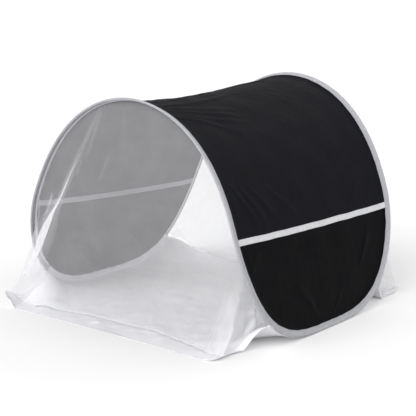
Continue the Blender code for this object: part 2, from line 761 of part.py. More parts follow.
def build_tie_loop(rim, side):
    """Small white webbing loop on the hoop's bead, where a net corner is tied."""
    station = rim.tie_station(side)
    inward = rim.inward[station]
    outward = rim.outward[station]
    along = rim.along[station]
    middle = rim.point[station] - inward * (BEAD_RADIUS + SEAT_GAP + TIE_LOOP_DEPTH / 2)
    outer = slot_outline(TIE_LOOP_LENGTH, TIE_LOOP_DEPTH)
    inner = slot_outline(TIE_LOOP_LENGTH - 2 * TIE_LOOP_BAND, TIE_LOOP_DEPTH - 2 * TIE_LOOP_BAND)
    rings = []
    for outline, face in ((outer, -1), (outer, 1), (inner, 1), (inner, -1)):
        lift = outward * face * TIE_LOOP_WIDTH / 2
        rings.append(middle + along * outline[:, :1] - inward * outline[:, 1:] + lift)
    name = "tie_loop_%s_%s" % (END_NAMES[rim.end], SIDE_NAMES[side])
    sleeve(name, np.stack(rings), WHITE_TAPE)


def main():
    """Build the whole tent."""
    clear_scene()
    rims = {FRONT: Rim(FRONT), REAR: Rim(REAR)}
    build_hoop(rims)
    build_canopy()
    base = BaseSheet(rims)
    base.build()
    for end in (FRONT, REAR):
        build_binding(rims[end])
        build_net(base, rims[end])
        for side in (LEFT, RIGHT):
            build_tie_loop(rims[end], side)


main()
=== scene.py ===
"""Bed tent: the finished look of the saddle-shaped black tent on its sprung hoop.

Frame: metres, +Z up, +Y from the front opening to the rear one, +X to the right as seen
from the front, the origin on the floor midway between the feet.

The canopy is drawn flat first. In the flat drawing `arc` runs across the tent from foot to
foot, zero at the ridge, and `y` runs along the tent. The hoop is the outline of the flat
drawing, a long oval, and the drawing is wrapped over the arch and sags between the rims.
"""
import logging
import math
from dataclasses import dataclass
from enum import Enum, IntEnum
from functools import cached_property

import bpy
import numpy as np
from mathutils import Matrix


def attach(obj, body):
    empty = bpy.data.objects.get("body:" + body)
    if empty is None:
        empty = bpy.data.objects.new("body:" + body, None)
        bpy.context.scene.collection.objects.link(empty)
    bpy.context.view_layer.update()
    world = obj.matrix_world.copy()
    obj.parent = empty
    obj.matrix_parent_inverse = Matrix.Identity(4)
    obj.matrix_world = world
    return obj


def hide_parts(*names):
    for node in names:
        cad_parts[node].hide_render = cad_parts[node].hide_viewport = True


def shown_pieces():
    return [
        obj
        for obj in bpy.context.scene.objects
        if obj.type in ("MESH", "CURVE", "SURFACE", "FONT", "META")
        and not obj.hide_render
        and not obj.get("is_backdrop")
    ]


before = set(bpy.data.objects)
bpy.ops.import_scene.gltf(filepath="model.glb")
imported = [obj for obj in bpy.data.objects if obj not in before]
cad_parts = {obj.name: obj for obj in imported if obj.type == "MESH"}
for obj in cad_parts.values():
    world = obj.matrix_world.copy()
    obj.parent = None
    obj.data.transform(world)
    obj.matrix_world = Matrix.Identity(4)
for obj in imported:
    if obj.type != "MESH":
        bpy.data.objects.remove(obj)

Array = np.ndarray
Triple = tuple[float, float, float]
Mesh = bpy.types.Mesh
Object = bpy.types.Object
Socket = bpy.types.NodeSocket
LOG = logging.getLogger("bed_tent")
MM = 0.001
UP = np.array([0.0, 0.0, 1.0])
SHARP_ANGLE = math.radians(50.0)
GOLDEN_ANGLE = 2.39996


class End(IntEnum):
    """The tent's two ends, as signs of y."""

    FRONT = -1
    REAR = 1

    @property
    def word(self) -> str:
        """The end's name in piece names."""
        return self.name.lower()


class Side(IntEnum):
    """The tent's two sides, as signs of x."""

    LEFT = -1
    RIGHT = 1

    @property
    def word(self) -> str:
        """The side's name in piece names."""
        return self.name.lower()


class Held(Enum):
    """How a sheet is held."""

    STRETCHED = "stretched"
    HUNG = "hung"
    LAID = "laid"
    FOLDED = "folded"


# Small maths on whole arrays

def unit(vectors: Array) -> Array:
    """Vectors of length one, along the last axis."""
    return vectors / np.maximum(np.linalg.norm(vectors, axis=-1, keepdims=True), 1e-12)


def smooth_step(value: Array | float) -> Array:
    """Ease from 0 to 1 over 0..1: 3t^2 - 2t^3."""
    t = np.clip(value, 0.0, 1.0)
    return t * t * (3.0 - 2.0 * t)


def bell(value: Array | float) -> Array:
    """Gaussian bell of height one: exp(-value^2)."""
    return np.exp(-np.square(value))


def running_length(points: Array) -> Array:
    """Length along a row of points, starting from zero."""
    return np.concatenate([[0.0], np.cumsum(np.linalg.norm(np.diff(points, axis=0), axis=1))])


def at_lengths(points: Array, run: Array, wanted: Array) -> Array:
    """Rows of a table along a path at wanted running lengths, straight between its rows."""
    return np.stack([np.interp(wanted, run, column) for column in points.T], axis=-1)


def grid_normals(points: Array) -> Array:
    """Unit normals of a grid of points, from the cross product of its two directions."""
    return unit(np.cross(np.gradient(points, axis=0), np.gradient(points, axis=1)))


def grid_run(points: Array, axis: int) -> Array:
    """Running length along one direction of a grid of points.

    Args:
        points: the grid, shape (rows, columns, 3).
        axis: 0 to go from row to row, 1 to go from column to column.

    Returns:
        The length at each point, zero at the first row or column.
    """
    start = np.take(points, [0], axis=axis)
    steps = np.linalg.norm(np.diff(points, axis=axis, prepend=start), axis=-1)
    return np.cumsum(steps, axis=axis)


def ripple(u: Array, v: Array, pitch: float, seed: int, waves: int = 9) -> Array:
    """Soft irregular waviness over a surface, about -1..1.

    It is a sum of plane waves with pitches of 0.8 to 1.25 times the given one, in directions
    spread by the golden angle: sum of sin(k (u cos a + v sin a) + phase) / sqrt(waves / 2).

    Args:
        u: first surface coordinate, in metres.
        v: second surface coordinate, in metres.
        pitch: usual distance from crest to crest.
        seed: which pattern of phases is taken.
        waves: number of waves in the sum.

    Returns:
        The height at each point.
    """
    rng = np.random.default_rng(seed)
    total = np.zeros(np.broadcast(u, v).shape)
    for index, phase in enumerate(rng.uniform(0.0, 2.0 * np.pi, waves)):
        angle = GOLDEN_ANGLE * index
        k = 2.0 * np.pi / (pitch * (0.8 + 0.45 * index / waves))
        total += np.sin(k * (u * math.cos(angle) + v * math.sin(angle)) + phase)
    return total / math.sqrt(waves / 2.0)


@dataclass(frozen=True)
class Waves:
    """Soft waves in cloth: distance from crest to crest, height and pattern.

    factors multiply the two surface coordinates before the waves are laid over them.
    """

    pitch: float
    height: float
    seed: int
    factors: tuple[float, float] = (1.0, 1.0)

    def ripple(self, u: Array, v: Array, turn: int = 0) -> Array:
        """The waves' pattern, about -1..1; turn takes another one."""
        first, second = self.factors
        return ripple(u * first, v * second, self.pitch, self.seed + turn)

    def over(self, u: Array, v: Array, turn: int = 0) -> Array:
        """Height of the waves at surface coordinates; turn takes another pattern."""
        return self.height * self.ripple(u, v, turn)

    def crests(self, u: Array, v: Array) -> Array:
        """Only the crests, made narrower: height * max(ripple, 0)^1.5."""
        return np.maximum(self.ripple(u, v), 0.0) ** 1.5 * self.height


# Meshes

def grid_faces(rows: int, columns: int, closed: bool = False) -> Array:
    """Quads over a grid of rows by columns of points.

    Args:
        rows: number of point rows.
        columns: number of points in a row.
        closed: whether each row is a ring, joined round to its first point.

    Returns:
        Quads as an integer array of shape (count, 4).
    """
    index = np.arange(rows * columns).reshape(rows, columns)
    ahead = np.roll(index, -1, axis=1)
    span = columns if closed else columns - 1
    quads = np.stack([index[:-1], ahead[:-1], ahead[1:], index[1:]], axis=-1)
    return quads[:, :span].reshape(-1, 4)


def make_mesh(name: str, points: Array, faces: list, uv: Array | None = None) -> Mesh:
    """Mesh from arrays of points and faces, smooth shaded.

    Args:
        name: the mesh's name.
        points: vertex places, shape (count, 3).
        faces: vertex indices of each face.
        uv: surface coordinates in metres for each vertex, or None.

    Returns:
        The new mesh.
    """
    mesh = bpy.data.meshes.new(name)
    mesh.from_pydata(points.reshape(-1, 3).tolist(), [], faces)
    if uv is not None:
        loops = np.empty(len(mesh.loops), dtype=np.int32)
        mesh.loops.foreach_get("vertex_index", loops)
        layer = mesh.uv_layers.new(name="UVMap")
        layer.data.foreach_set("uv", uv.reshape(-1, 2)[loops].astype(np.float32).ravel())
    mesh.shade_smooth()
    return mesh


def add_attribute(mesh: Mesh, name: str, values: Array) -> None:
    """Store one number for each vertex under a name that a material can read."""
    layer = mesh.attributes.new(name, "FLOAT", "POINT")
    layer.data.foreach_set("value", values.astype(np.float32).ravel())


def add_object(name: str, data: bpy.types.ID) -> Object:
    """Make an object of a mesh, a lamp or a camera, and link it into the scene.

    Args:
        name: the object's name.
        data: what it shows.

    Returns:
        The object.
    """
    obj = bpy.data.objects.new(name, data)
    bpy.context.scene.collection.objects.link(obj)
    return obj


@dataclass(frozen=True)
class Piece:
    """One finished piece: its name, finish, slot and the CAD nodes that it stands for."""

    name: str
    finish: "Finish"
    slot: str
    stands_for: tuple[str, ...] = ()

    def place(self, mesh: Mesh) -> Object:
        """Link the mesh as this piece, dressed and riding on the tent's one body.

        Args:
            mesh: the piece's mesh.

        Returns:
            The piece's object.
        """
        obj = add_object(self.name, mesh)
        mesh.materials.append(self.finish.material())
        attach(obj, "root")
        if self.stands_for:
            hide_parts(*self.stands_for)
        return obj


def shell_mesh(name: str, points: Array, uv: Array, thickness: float,
               normals: Array | None = None) -> Mesh:
    """Closed thin shell over a grid: two offset skins and a rim round the edge.

    Each skin is the grid moved half the thickness along its normals.

    Args:
        name: the mesh's name.
        points: middle surface, shape (rows, columns, 3).
        uv: surface coordinates in metres, shape (rows, columns, 2).
        thickness: distance between the skins.
        normals: unit normals on the outer side, or None to work them out.

    Returns:
        The shell's mesh, its outer skin first.
    """
    rows, columns = points.shape[:2]
    out = grid_normals(points) if normals is None else normals
    skins = np.stack([points + out * thickness / 2, points - out * thickness / 2])
    count = rows * columns
    quads = grid_faces(rows, columns)
    index = np.arange(count).reshape(rows, columns)
    edge = np.concatenate([index[0, :-1], index[:-1, -1], index[-1, :0:-1], index[:0:-1, 0]])
    after = np.roll(edge, -1)
    rim = np.stack([edge, edge + count, after + count, after], axis=-1)
    first = points[1, 0] - points[0, 0]
    second = points[0, 1] - points[0, 0]
    if float(np.dot(np.cross(first, second), out[0, 0])) < 0.0:
        outer, inner = quads, (quads + count)[:, ::-1]
    else:
        outer, inner, rim = quads[:, ::-1], quads + count, rim[:, ::-1]
    faces = np.concatenate([outer, inner, rim]).tolist()
    mesh = make_mesh(name, skins, faces, np.stack([uv, uv]))
    mesh.set_sharp_from_angle(angle=SHARP_ANGLE)
    return mesh


def ring_mesh(name: str, rings: Array, uv: Array | None = None, capped: bool = True) -> Mesh:
    """Bar through a row of matching rings, with flat ends.

    Args:
        name: the mesh's name.
        rings: points, shape (bands, count, 3), each ring turning the same way.
        uv: surface coordinates for each point, or None.
        capped: whether the two ends are closed; otherwise the row of rings closes on itself.

    Returns:
        The bar's mesh, its faces outward.
    """
    bands, count = rings.shape[:2]
    source = rings if capped else np.concatenate([rings, rings[:1]])
    quads = grid_faces(source.shape[0], count, closed=True)
    if not capped:
        quads = quads % (bands * count)
    middle = rings[0].mean(axis=0)
    turn = np.cross(rings[0, 0] - middle, rings[0, 1] - middle)
    ahead = rings[1].mean(axis=0) - middle
    flip = float(np.dot(turn, ahead)) < 0.0
    faces = (quads if flip else quads[:, ::-1]).tolist()
    if capped:
        near = list(range(count))
        far = [index + (bands - 1) * count for index in near]
        faces += [near, far[::-1]] if flip else [near[::-1], far]
    return make_mesh(name, rings, faces, uv)


# Finishes

class NodeTree:
    """Short way to add and join the nodes of a tree."""

    def __init__(self, tree: bpy.types.NodeTree) -> None:
        """Keep the tree that the nodes go into."""
        self.tree = tree

    def add(self, kind: str, **settings: object) -> bpy.types.Node:
        """Add a node.

        Args:
            kind: the node's type.
            settings: properties to set on it.

        Returns:
            The new node.
        """
        node = self.tree.nodes.new(kind)
        for name, value in settings.items():
            setattr(node, name, value)
        return node

    def join(self, source: Socket, target: Socket) -> None:
        """Link one socket to another."""
        self.tree.links.new(source, target)

    def maths(self, operation: str, *values: object) -> Socket:
        """Add a Math node.

        Args:
            operation: what it works out.
            values: sockets to join to its inputs, or numbers to set them to.

        Returns:
            The socket of its result.
        """
        node = self.add("ShaderNodeMath", operation=operation)
        for slot, value in zip(node.inputs, values):
            if isinstance(value, Socket):
                self.join(value, slot)
            else:
                slot.default_value = float(value)
        return node.outputs[0]

    def seen_rays(self) -> Socket:
        """One for rays that show the surround: the camera's and those through glass."""
        rays = self.add("ShaderNodeLightPath").outputs
        return self.maths("MAXIMUM", rays["Is Camera Ray"], rays["Is Transmission Ray"])


@dataclass(frozen=True)
class Noise:
    """Noise over the tent: cells in each metre, layers of detail and their roughness."""

    cells: float
    detail: float = 2.0
    roughness: float = 0.5


class Nodes(NodeTree):
    """The nodes of a new material."""

    def __init__(self, name: str) -> None:
        """Start a material with its main shader.

        Args:
            name: the material's name.
        """
        self.made = bpy.data.materials.new(name)
        self.made.use_nodes = True
        super().__init__(self.made.node_tree)
        self.shader = self.tree.nodes["Principled BSDF"]

    def level(self, name: str, value: float | tuple[float, ...]) -> None:
        """Set one of the shader's inputs to a number or a colour."""
        self.shader.inputs[name].default_value = value

    def feed(self, name: str, source: Socket) -> None:
        """Join a socket to one of the shader's inputs."""
        self.join(source, self.shader.inputs[name])

    def uv_axes(self) -> tuple[Socket, Socket]:
        """Read the surface coordinates.

        Returns:
            The sockets of the two coordinates, in metres.
        """
        source = self.add("ShaderNodeUVMap", uv_map="UVMap")
        split = self.add("ShaderNodeSeparateXYZ")
        self.join(source.outputs[0], split.inputs[0])
        return split.outputs[0], split.outputs[1]

    def wave(self, axis: Socket, pitch: float) -> Socket:
        """sin(2 pi axis / pitch)."""
        return self.maths("SINE", self.maths("MULTIPLY", axis, 2.0 * math.pi / pitch))

    def noise(self, noise: Noise) -> Socket:
        """Add a noise that follows the place in the tent's own frame.

        Args:
            noise: its cells and detail.

        Returns:
            The socket of its value, 0..1.
        """
        node = self.add("ShaderNodeTexNoise")
        self.join(self.add("ShaderNodeTexCoord").outputs["Object"], node.inputs["Vector"])
        node.inputs["Scale"].default_value = noise.cells
        node.inputs["Detail"].default_value = noise.detail
        node.inputs["Roughness"].default_value = noise.roughness
        return node.outputs["Fac"]

    def tint(self, tone: Socket, colour: Triple, dark: float, light: float) -> None:
        """Let the shader's colour follow a tone.

        Args:
            tone: the tone, 0..1.
            colour: the finish's own colour.
            dark: factor on the colour where the tone is 0.
            light: factor on the colour where the tone is 1.
        """
        node = self.add("ShaderNodeMix", data_type="RGBA")
        self.join(tone, node.inputs["Factor"])
        for name, factor in (("A", dark), ("B", light)):
            node.inputs[name].default_value = (*(min(1.0, c * factor) for c in colour), 1.0)
        self.feed("Base Color", node.outputs["Result"])

    def bump(self, height: Socket, depth: float) -> None:
        """Let the shader's normal follow a height.

        Args:
            height: the height, 0..1.
            depth: how deep that range is, in metres.
        """
        node = self.add("ShaderNodeBump")
        node.inputs["Distance"].default_value = depth
        node.inputs["Strength"].default_value = 1.0
        self.join(height, node.inputs["Height"])
        self.feed("Normal", node.outputs[0])


@dataclass(frozen=True)
class Finish:
    """A named finish. Each kind fills in its own nodes, and each is made only once."""

    name: str
    colour: Triple
    roughness: float

    def material(self) -> bpy.types.Material:
        """Make the finish's material, or find it when it has been made before.

        Returns:
            The material.
        """
        found = bpy.data.materials.get(self.name)
        if found:
            return found
        nodes = Nodes(self.name)
        nodes.level("Base Color", (*self.colour, 1.0))
        nodes.level("Roughness", self.roughness)
        self.dress(nodes)
        return nodes.made

    def dress(self, nodes: Nodes) -> None:
        """Add what makes this finish more than one flat colour."""


@dataclass(frozen=True)
class WovenCloth(Finish):
    """Plain weave: over-and-under threads, ripstop lines and slight changes of shade."""

    thread: float = 0.9 * MM
    thread_depth: float = 0.05 * MM
    grid: float = 5.0 * MM
    grid_power: float = 24.0
    grid_height: float = 0.6
    cloud: Noise = Noise(9.0, 4.0, 0.55)
    fine: Noise = Noise(160.0)
    cloud_share: float = 0.7
    shade: float = 0.12
    worn: float = 0.10
    specular: float = 0.3

    def dress(self, nodes: Nodes) -> None:
        """Bump of sin(u) sin(v) with lines |sin|^power over it, and a clouded tone.

        Args:
            nodes: the material's nodes.
        """
        axes = nodes.uv_axes()
        weave = nodes.maths("MULTIPLY", *(nodes.wave(axis, self.thread) for axis in axes))
        waves = (nodes.maths("ABSOLUTE", nodes.wave(axis, self.grid * 2)) for axis in axes)
        lines = nodes.maths(
            "MAXIMUM", *(nodes.maths("POWER", wave, self.grid_power) for wave in waves))
        cloud = nodes.noise(self.cloud)
        fine = nodes.maths("MULTIPLY", nodes.noise(self.fine), 1.0 - self.cloud_share)
        tone = nodes.maths("MULTIPLY_ADD", cloud, self.cloud_share, fine)
        nodes.tint(tone, self.colour, 1.0 - self.shade, 1.0 + self.shade)
        rough = nodes.maths("MULTIPLY_ADD", cloud, self.worn, self.roughness - self.worn / 2)
        nodes.feed("Roughness", rough)
        height = nodes.maths("MULTIPLY_ADD", weave, 0.5, 0.5)
        height = nodes.maths("MULTIPLY_ADD", lines, self.grid_height, height)
        nodes.bump(height, self.thread_depth)
        nodes.level("Specular IOR Level", self.specular)


@dataclass(frozen=True)
class RibbedTape(Finish):
    """Woven tape: a herringbone of short ribs in columns along it, clouded and flecked."""

    rib: float = 1.3 * MM
    rib_depth: float = 0.10 * MM
    rib_slope: float = 1.2
    rib_share: float = 0.2
    column: float = 4.4 * MM
    cloud: Noise = Noise(24.0, 4.0, 0.6)
    cloud_share: float = 0.4
    fleck: Noise = Noise(190.0, 2.0, 0.6)
    fleck_share: float = 0.8
    tone_offset: float = 0.2
    shade: float = 0.30
    specular: float = 0.3

    def dress(self, nodes: Nodes) -> None:
        """Ribs as sin(along +- across), turned back in every second column of the tape.

        Args:
            nodes: the material's nodes.
        """
        along, across = nodes.uv_axes()
        zigzag = nodes.maths("PINGPONG", across, self.column / 2)
        slant = nodes.maths("ADD", along, nodes.maths("MULTIPLY", zigzag, self.rib_slope))
        ribs = nodes.maths("MULTIPLY_ADD", nodes.wave(slant, self.rib), 0.5, 0.5)
        fleck = nodes.maths("MULTIPLY", nodes.noise(self.fleck), self.fleck_share)
        tone = nodes.maths("MULTIPLY_ADD", nodes.noise(self.cloud), self.cloud_share, fleck)
        tone = nodes.maths("SUBTRACT", tone, self.tone_offset)
        tone = nodes.maths("MULTIPLY_ADD", ribs, self.rib_share, tone)
        nodes.tint(tone, self.colour, 1.0 - self.shade, 1.0 + self.shade)
        nodes.bump(ribs, self.rib_depth)
        nodes.level("Specular IOR Level", self.specular)


@dataclass(frozen=True)
class SheerNet(Finish):
    """Fine white net: see-through, denser where its threads cross and where it bunches."""

    cover: float = 0.275
    most_cover: float = 0.97
    thread: float = 1.0 * MM
    thread_depth: float = 0.02 * MM
    thread_height: float = 0.17
    slant: tuple[float, float] = (0.866, 0.5)
    contrast: float = 0.10
    cloud: Noise = Noise(14.0, 3.0, 0.5)
    uneven: float = 0.24
    scattered: float = 0.8
    specular: float = 0.15

    def dress(self, nodes: Nodes) -> None:
        """Cover = average * (1 + crossing threads) * bunching, limited to 0..1.

        The threads run in three directions, 60 degrees apart. A part of the light that they
        catch is scattered on through the net, so it holds back less light on the way to what
        lies behind it than it hides from sight.

        Args:
            nodes: the material's nodes.
        """
        u, v = nodes.uv_axes()
        part_u = nodes.maths("MULTIPLY", u, self.slant[0])
        part_v = nodes.maths("MULTIPLY", v, self.slant[1])
        rising = nodes.wave(nodes.maths("ADD", part_u, part_v), self.thread)
        falling = nodes.wave(nodes.maths("SUBTRACT", part_u, part_v), self.thread)
        mesh = nodes.maths("ADD", rising, falling)
        mesh = nodes.maths("ADD", mesh, nodes.wave(v, self.thread))
        weave = nodes.maths("MULTIPLY_ADD", mesh, self.contrast / 3.0, 1.0)
        bunch = nodes.add("ShaderNodeAttribute", attribute_name="bunching").outputs["Fac"]
        cloud = nodes.noise(self.cloud)
        uneven = nodes.maths("MULTIPLY_ADD", cloud, self.uneven, 1.0 - self.uneven / 2)
        cover = nodes.maths("MULTIPLY", nodes.maths("MULTIPLY", weave, bunch), self.cover)
        cover = nodes.maths("MULTIPLY", cover, uneven)
        cover = nodes.maths("MINIMUM", cover, self.most_cover)
        path = nodes.add("ShaderNodeLightPath").outputs
        passing = nodes.maths("MAXIMUM", path["Is Shadow Ray"], path["Is Diffuse Ray"])
        kept = nodes.maths("MULTIPLY_ADD", passing, -self.scattered, 1.0)
        nodes.feed("Alpha", nodes.maths("MULTIPLY", cover, kept))
        height = nodes.maths("MULTIPLY_ADD", mesh, self.thread_height, 0.5)
        nodes.bump(height, self.thread_depth)
        nodes.level("Specular IOR Level", self.specular)
        nodes.made.surface_render_method = "DITHERED"


@dataclass(frozen=True)
class SpringSteel(Finish):
    """Drawn spring steel: bright, with small dull patches."""

    patches: Noise = Noise(90.0, 4.0, 0.6)
    patch_depth: float = 0.02 * MM
    dullness: float = 0.25
    polish: float = 0.12
    shades: tuple[float, float] = (0.85, 1.12)

    def dress(self, nodes: Nodes) -> None:
        """Metal whose shade and roughness follow the patches.

        Args:
            nodes: the material's nodes.
        """
        nodes.level("Metallic", 1.0)
        dull = nodes.noise(self.patches)
        rough = nodes.maths("MULTIPLY_ADD", dull, self.dullness, self.roughness - self.polish)
        nodes.feed("Roughness", rough)
        nodes.tint(dull, self.colour, *self.shades)
        nodes.bump(dull, self.patch_depth)


@dataclass(frozen=True)
class Thread(Finish):
    """Sewing thread: twisted strands with a soft shine."""

    twist: float = 0.5 * MM
    twist_depth: float = 0.05 * MM
    shades: tuple[float, float] = (0.85, 1.10)

    def dress(self, nodes: Nodes) -> None:
        """Short bands of shade and height, as long as the twist.

        Args:
            nodes: the material's nodes.
        """
        bands = nodes.noise(Noise(1.0 / self.twist, 1.0))
        nodes.tint(bands, self.colour, *self.shades)
        nodes.bump(bands, self.twist_depth)


BLACK_CLOTH = WovenCloth("black_woven_cloth", (0.0092, 0.0094, 0.0120), 0.54, specular=0.022)
# Darker copy of the black cloth for the side panels: painted shade, since these panels face
# sideways and take less light.
SHADED_SIDE_PANEL_CLOTH = WovenCloth("black_side_cloth", (0.0042, 0.0043, 0.0052), 0.54, specular=0.03)
GREY_TAPE = RibbedTape("grey_ribbed_tape", (0.420, 0.422, 0.448), 0.80)
LIGHT_TAPE = RibbedTape("light_ribbed_tape", (0.675, 0.677, 0.700), 0.80)
# Darker copy of the light seam tape for the tapes on the canopy's inner face: painted shade for the
# dim inside of the tent.
SHADED_INNER_SEAM_TAPE = RibbedTape("inner_seam_tape_painted_shade", (0.385, 0.387, 0.406), 0.80)
WHITE_TAPE = RibbedTape("white_ribbed_tape", (0.760, 0.760, 0.785), 0.75, rib=0.9 * MM,
                        rib_depth=0.06 * MM, column=2.6 * MM, shade=0.04)
WHITE_NET = SheerNet("white_fine_net", (0.80, 0.80, 0.832), 0.80)
WHITE_SHEET = WovenCloth("white_woven_sheet", (0.90, 0.90, 0.93), 0.78, thread=1.1 * MM,
                         grid=7.0 * MM, shade=0.03, specular=0.2)
STEEL = SpringSteel("drawn_spring_steel", (0.46, 0.47, 0.49), 0.36)
GREY_THREAD = Thread("grey_sewing_thread", (0.47, 0.47, 0.50), 0.6)
WHITE_THREAD = Thread("white_sewing_thread", (0.82, 0.82, 0.85), 0.6)


# The tent's form

@dataclass(frozen=True)
class TentForm:
    """Sizes and curves that every piece shares, in metres."""

    floor_width: float = 0.850
    arch_height: float = 0.658
    hoop_length: float = 0.828
    wall_angle: float = math.radians(85.5)
    crown_share: float = 0.48
    crown_sag: float = 18.0 * MM
    sag_lean: float = 0.35
    edge_dip: float = 6.5 * MM
    edge_run: float = 36.0 * MM
    front_drop: float = 3.5 * MM
    foot_round: float = 0.347
    power_in: float = 1.8
    power_out: float = 3.3
    foot_flat: float = 60.0 * MM
    bead_radius: float = 3.6 * MM
    seat_gap: float = 0.3 * MM
    binding_width: float = 18.8 * MM
    foot_narrowing: float = 0.16
    foot_height: float = 0.20
    leaf_root: float = 6.5 * MM
    slot_half: float = 0.8 * MM
    binding_thickness: float = 0.7 * MM
    tie_height: float = 0.072
    base_end_margin: float = 61.0 * MM
    base_front_more: float = 12.0 * MM
    table_steps: int = 6000

    @property
    def half_hoop(self) -> float:
        """Half length of the hoop."""
        return self.hoop_length / 2

    @property
    def leaf_face(self) -> float:
        """Distance from the canopy's middle to a binding leaf's outer face."""
        return self.slot_half + self.binding_thickness

    @property
    def base_length(self) -> float:
        """Length of the base sheet at its corners."""
        return self.hoop_length + 2 * self.base_end_margin + self.base_front_more

    def base_half(self, y: Array | float) -> Array:
        """Distance from the middle to the base sheet's end on the side of y."""
        more = np.where(np.asarray(y) < 0.0, self.base_front_more, 0.0)
        return self.half_hoop + self.base_end_margin + more

    @cached_property
    def section(self) -> Array:
        """Half section of the arch from the ridge to a foot.

        The slope grows as wall_angle * tanh(q / crown_share) while q goes from 0 to 1; x is
        the integral of its cosine and the drop that of its sine, scaled to size.

        Returns:
            Columns arc, x, z, normal x, normal z and curvature.
        """
        q = np.linspace(0.0, 1.0, self.table_steps)
        slope = self.wall_angle * np.tanh(q / self.crown_share)
        x = np.concatenate([[0.0], np.cumsum(np.cos(slope[1:]) + np.cos(slope[:-1]))])
        drop = np.concatenate([[0.0], np.cumsum(np.sin(slope[1:]) + np.sin(slope[:-1]))])
        wide = self.floor_width / 2 / x[-1]
        tall = self.arch_height / drop[-1]
        top = self.bead_radius + self.seat_gap + self.arch_height
        points = np.stack([x * wide, top - tall * drop], axis=-1)
        arc = running_length(points)
        turn = np.arctan2(tall * np.sin(slope), wide * np.cos(slope))
        return np.stack([arc, points[:, 0], points[:, 1], np.sin(turn), np.cos(turn),
                         np.gradient(turn, arc)], axis=-1)

    @property
    def half_arc(self) -> float:
        """Arc length from the ridge to a foot."""
        return float(self.section[-1, 0])

    @cached_property
    def foot_arc(self) -> float:
        """Arc length at which the hoop runs level along the floor."""
        return float(self.arc_at_half_length(self.foot_flat / 2))

    @cached_property
    def tie_arc(self) -> float:
        """Arc length of the tie loops."""
        return self.arc_at_height(self.tie_height)

    def arc_at_height(self, height: float) -> float:
        """Arc length from the ridge at which the section is at a height."""
        return float(np.interp(-height, -self.section[:, 2], self.section[:, 0]))

    def round_share(self, arc: Array) -> Array:
        """How far an arc length lies into the rounding of a foot, 0 to 1."""
        into = np.abs(arc) - (self.half_arc - self.foot_round)
        return np.clip(into / self.foot_round, 0.0, 1.0)

    def half_length(self, arc: Array) -> Array:
        """Half length of the flat oval: half_hoop * (1 - u^p)^(1/q) in the rounding."""
        body = 1.0 - self.round_share(arc) ** self.power_in
        return self.half_hoop * body ** (1.0 / self.power_out)

    def half_length_slope(self, arc: Array) -> Array:
        """Rate of change of half_length along the arc, kept finite at the foot.

        Args:
            arc: arc lengths.

        Returns:
            The rate at each of them.
        """
        u = np.minimum(self.round_share(arc), 1.0 - 1.0 / self.table_steps ** 2)
        body = (1.0 - u ** self.power_in) ** (1.0 / self.power_out - 1.0)
        steep = self.half_hoop * self.power_in / self.power_out / self.foot_round
        return -steep * u ** (self.power_in - 1.0) * body * np.sign(arc)

    def arc_at_half_length(self, length: Array) -> Array:
        """Arc length in the rounding at which the oval has a half length.

        Args:
            length: half lengths.

        Returns:
            The arc length for each of them.
        """
        ratio = np.minimum(np.abs(length) / self.half_hoop, 1.0)
        share = (1.0 - ratio ** self.power_out) ** (1.0 / self.power_in)
        return self.half_arc - self.foot_round * (1.0 - share)

    def surface(self, arc: Array, y: Array) -> Array:
        """Canopy point over a flat point: the arch, less the sag between the rims.

        The sag is crown_sag * (curvature / ridge curvature) * (half length / full)^2
        * (1 - v^2) * (1 - sag_lean * v), deepest where the arch is most curved, as in any
        stretched saddle. Beside the hoop the cloth also dips by edge_dip within edge_run, as
        the sprung wire twists the binding inward. The arch is front_drop lower at the front.

        Args:
            arc: the flat points' arc lengths.
            y: their places along the tent.

        Returns:
            The points, shape (..., 3).
        """
        table = self.section
        size, side = np.abs(arc), np.sign(arc)
        x = side * np.interp(size, table[:, 0], table[:, 1])
        z = np.interp(size, table[:, 0], table[:, 2])
        normal_x = side * np.interp(size, table[:, 0], table[:, 3])
        normal_z = np.interp(size, table[:, 0], table[:, 4])
        curvature = np.interp(size, table[:, 0], table[:, 5])
        reach = np.maximum(self.half_length(arc), self.foot_flat / 2)
        across = np.clip(y / reach, -1.0, 1.0)
        depth = self.crown_sag * curvature / table[0, 5] * (reach / self.half_hoop) ** 2
        sag = depth * (1.0 - across ** 2) * (1.0 - self.sag_lean * across)
        sag = sag + self.edge_dip * smooth_step(self.edge_distance(arc, y) / self.edge_run)
        front = smooth_step(0.5 - y / self.hoop_length)
        low = self.front_drop * front * (z / self.arch_height) ** 2
        return np.stack([x - normal_x * sag, y + 0.0 * x, z - normal_z * sag - low], axis=-1)

    def normal(self, arc: Array, y: Array) -> Array:
        """Outward unit normal of the canopy, from steps of a tenth of a millimetre.

        Args:
            arc: the flat points' arc lengths.
            y: their places along the tent.

        Returns:
            The normals, shape (..., 3).
        """
        step = 0.1 * MM
        across = self.surface(arc + step, y) - self.surface(arc - step, y)
        along = self.surface(arc, y + step) - self.surface(arc, y - step)
        return unit(np.cross(across, along))

    def inset(self, arc: Array, end: End, distance: float | Array) -> tuple[Array, Array]:
        """Flat points a distance inside the oval's front or rear edge.

        Args:
            arc: arc lengths of points on the edge.
            end: which edge it is.
            distance: how far inside it.

        Returns:
            The arc lengths and the y places of the points.
        """
        slope = self.half_length_slope(arc)
        length = np.hypot(slope, 1.0)
        return arc + distance * slope / length, end * (self.half_length(arc) - distance / length)

    def edge_distance(self, arc: Array, y: Array) -> Array:
        """Distance of flat points from the oval's edge, exact near the edge.

        Args:
            arc: the flat points' arc lengths.
            y: their places along the tent.

        Returns:
            The distances, zero outside the oval.
        """
        away = (self.half_length(arc) - np.abs(y)) / np.hypot(self.half_length_slope(arc), 1.0)
        foot = self.foot_arc - np.abs(arc)
        return np.maximum(np.minimum(away, foot), 0.0)


SEAM_HEIGHTS = {
    (End.FRONT, Side.LEFT): 0.308,
    (End.FRONT, Side.RIGHT): 0.313,
    (End.REAR, Side.LEFT): 0.258,
    (End.REAR, Side.RIGHT): 0.292,
}


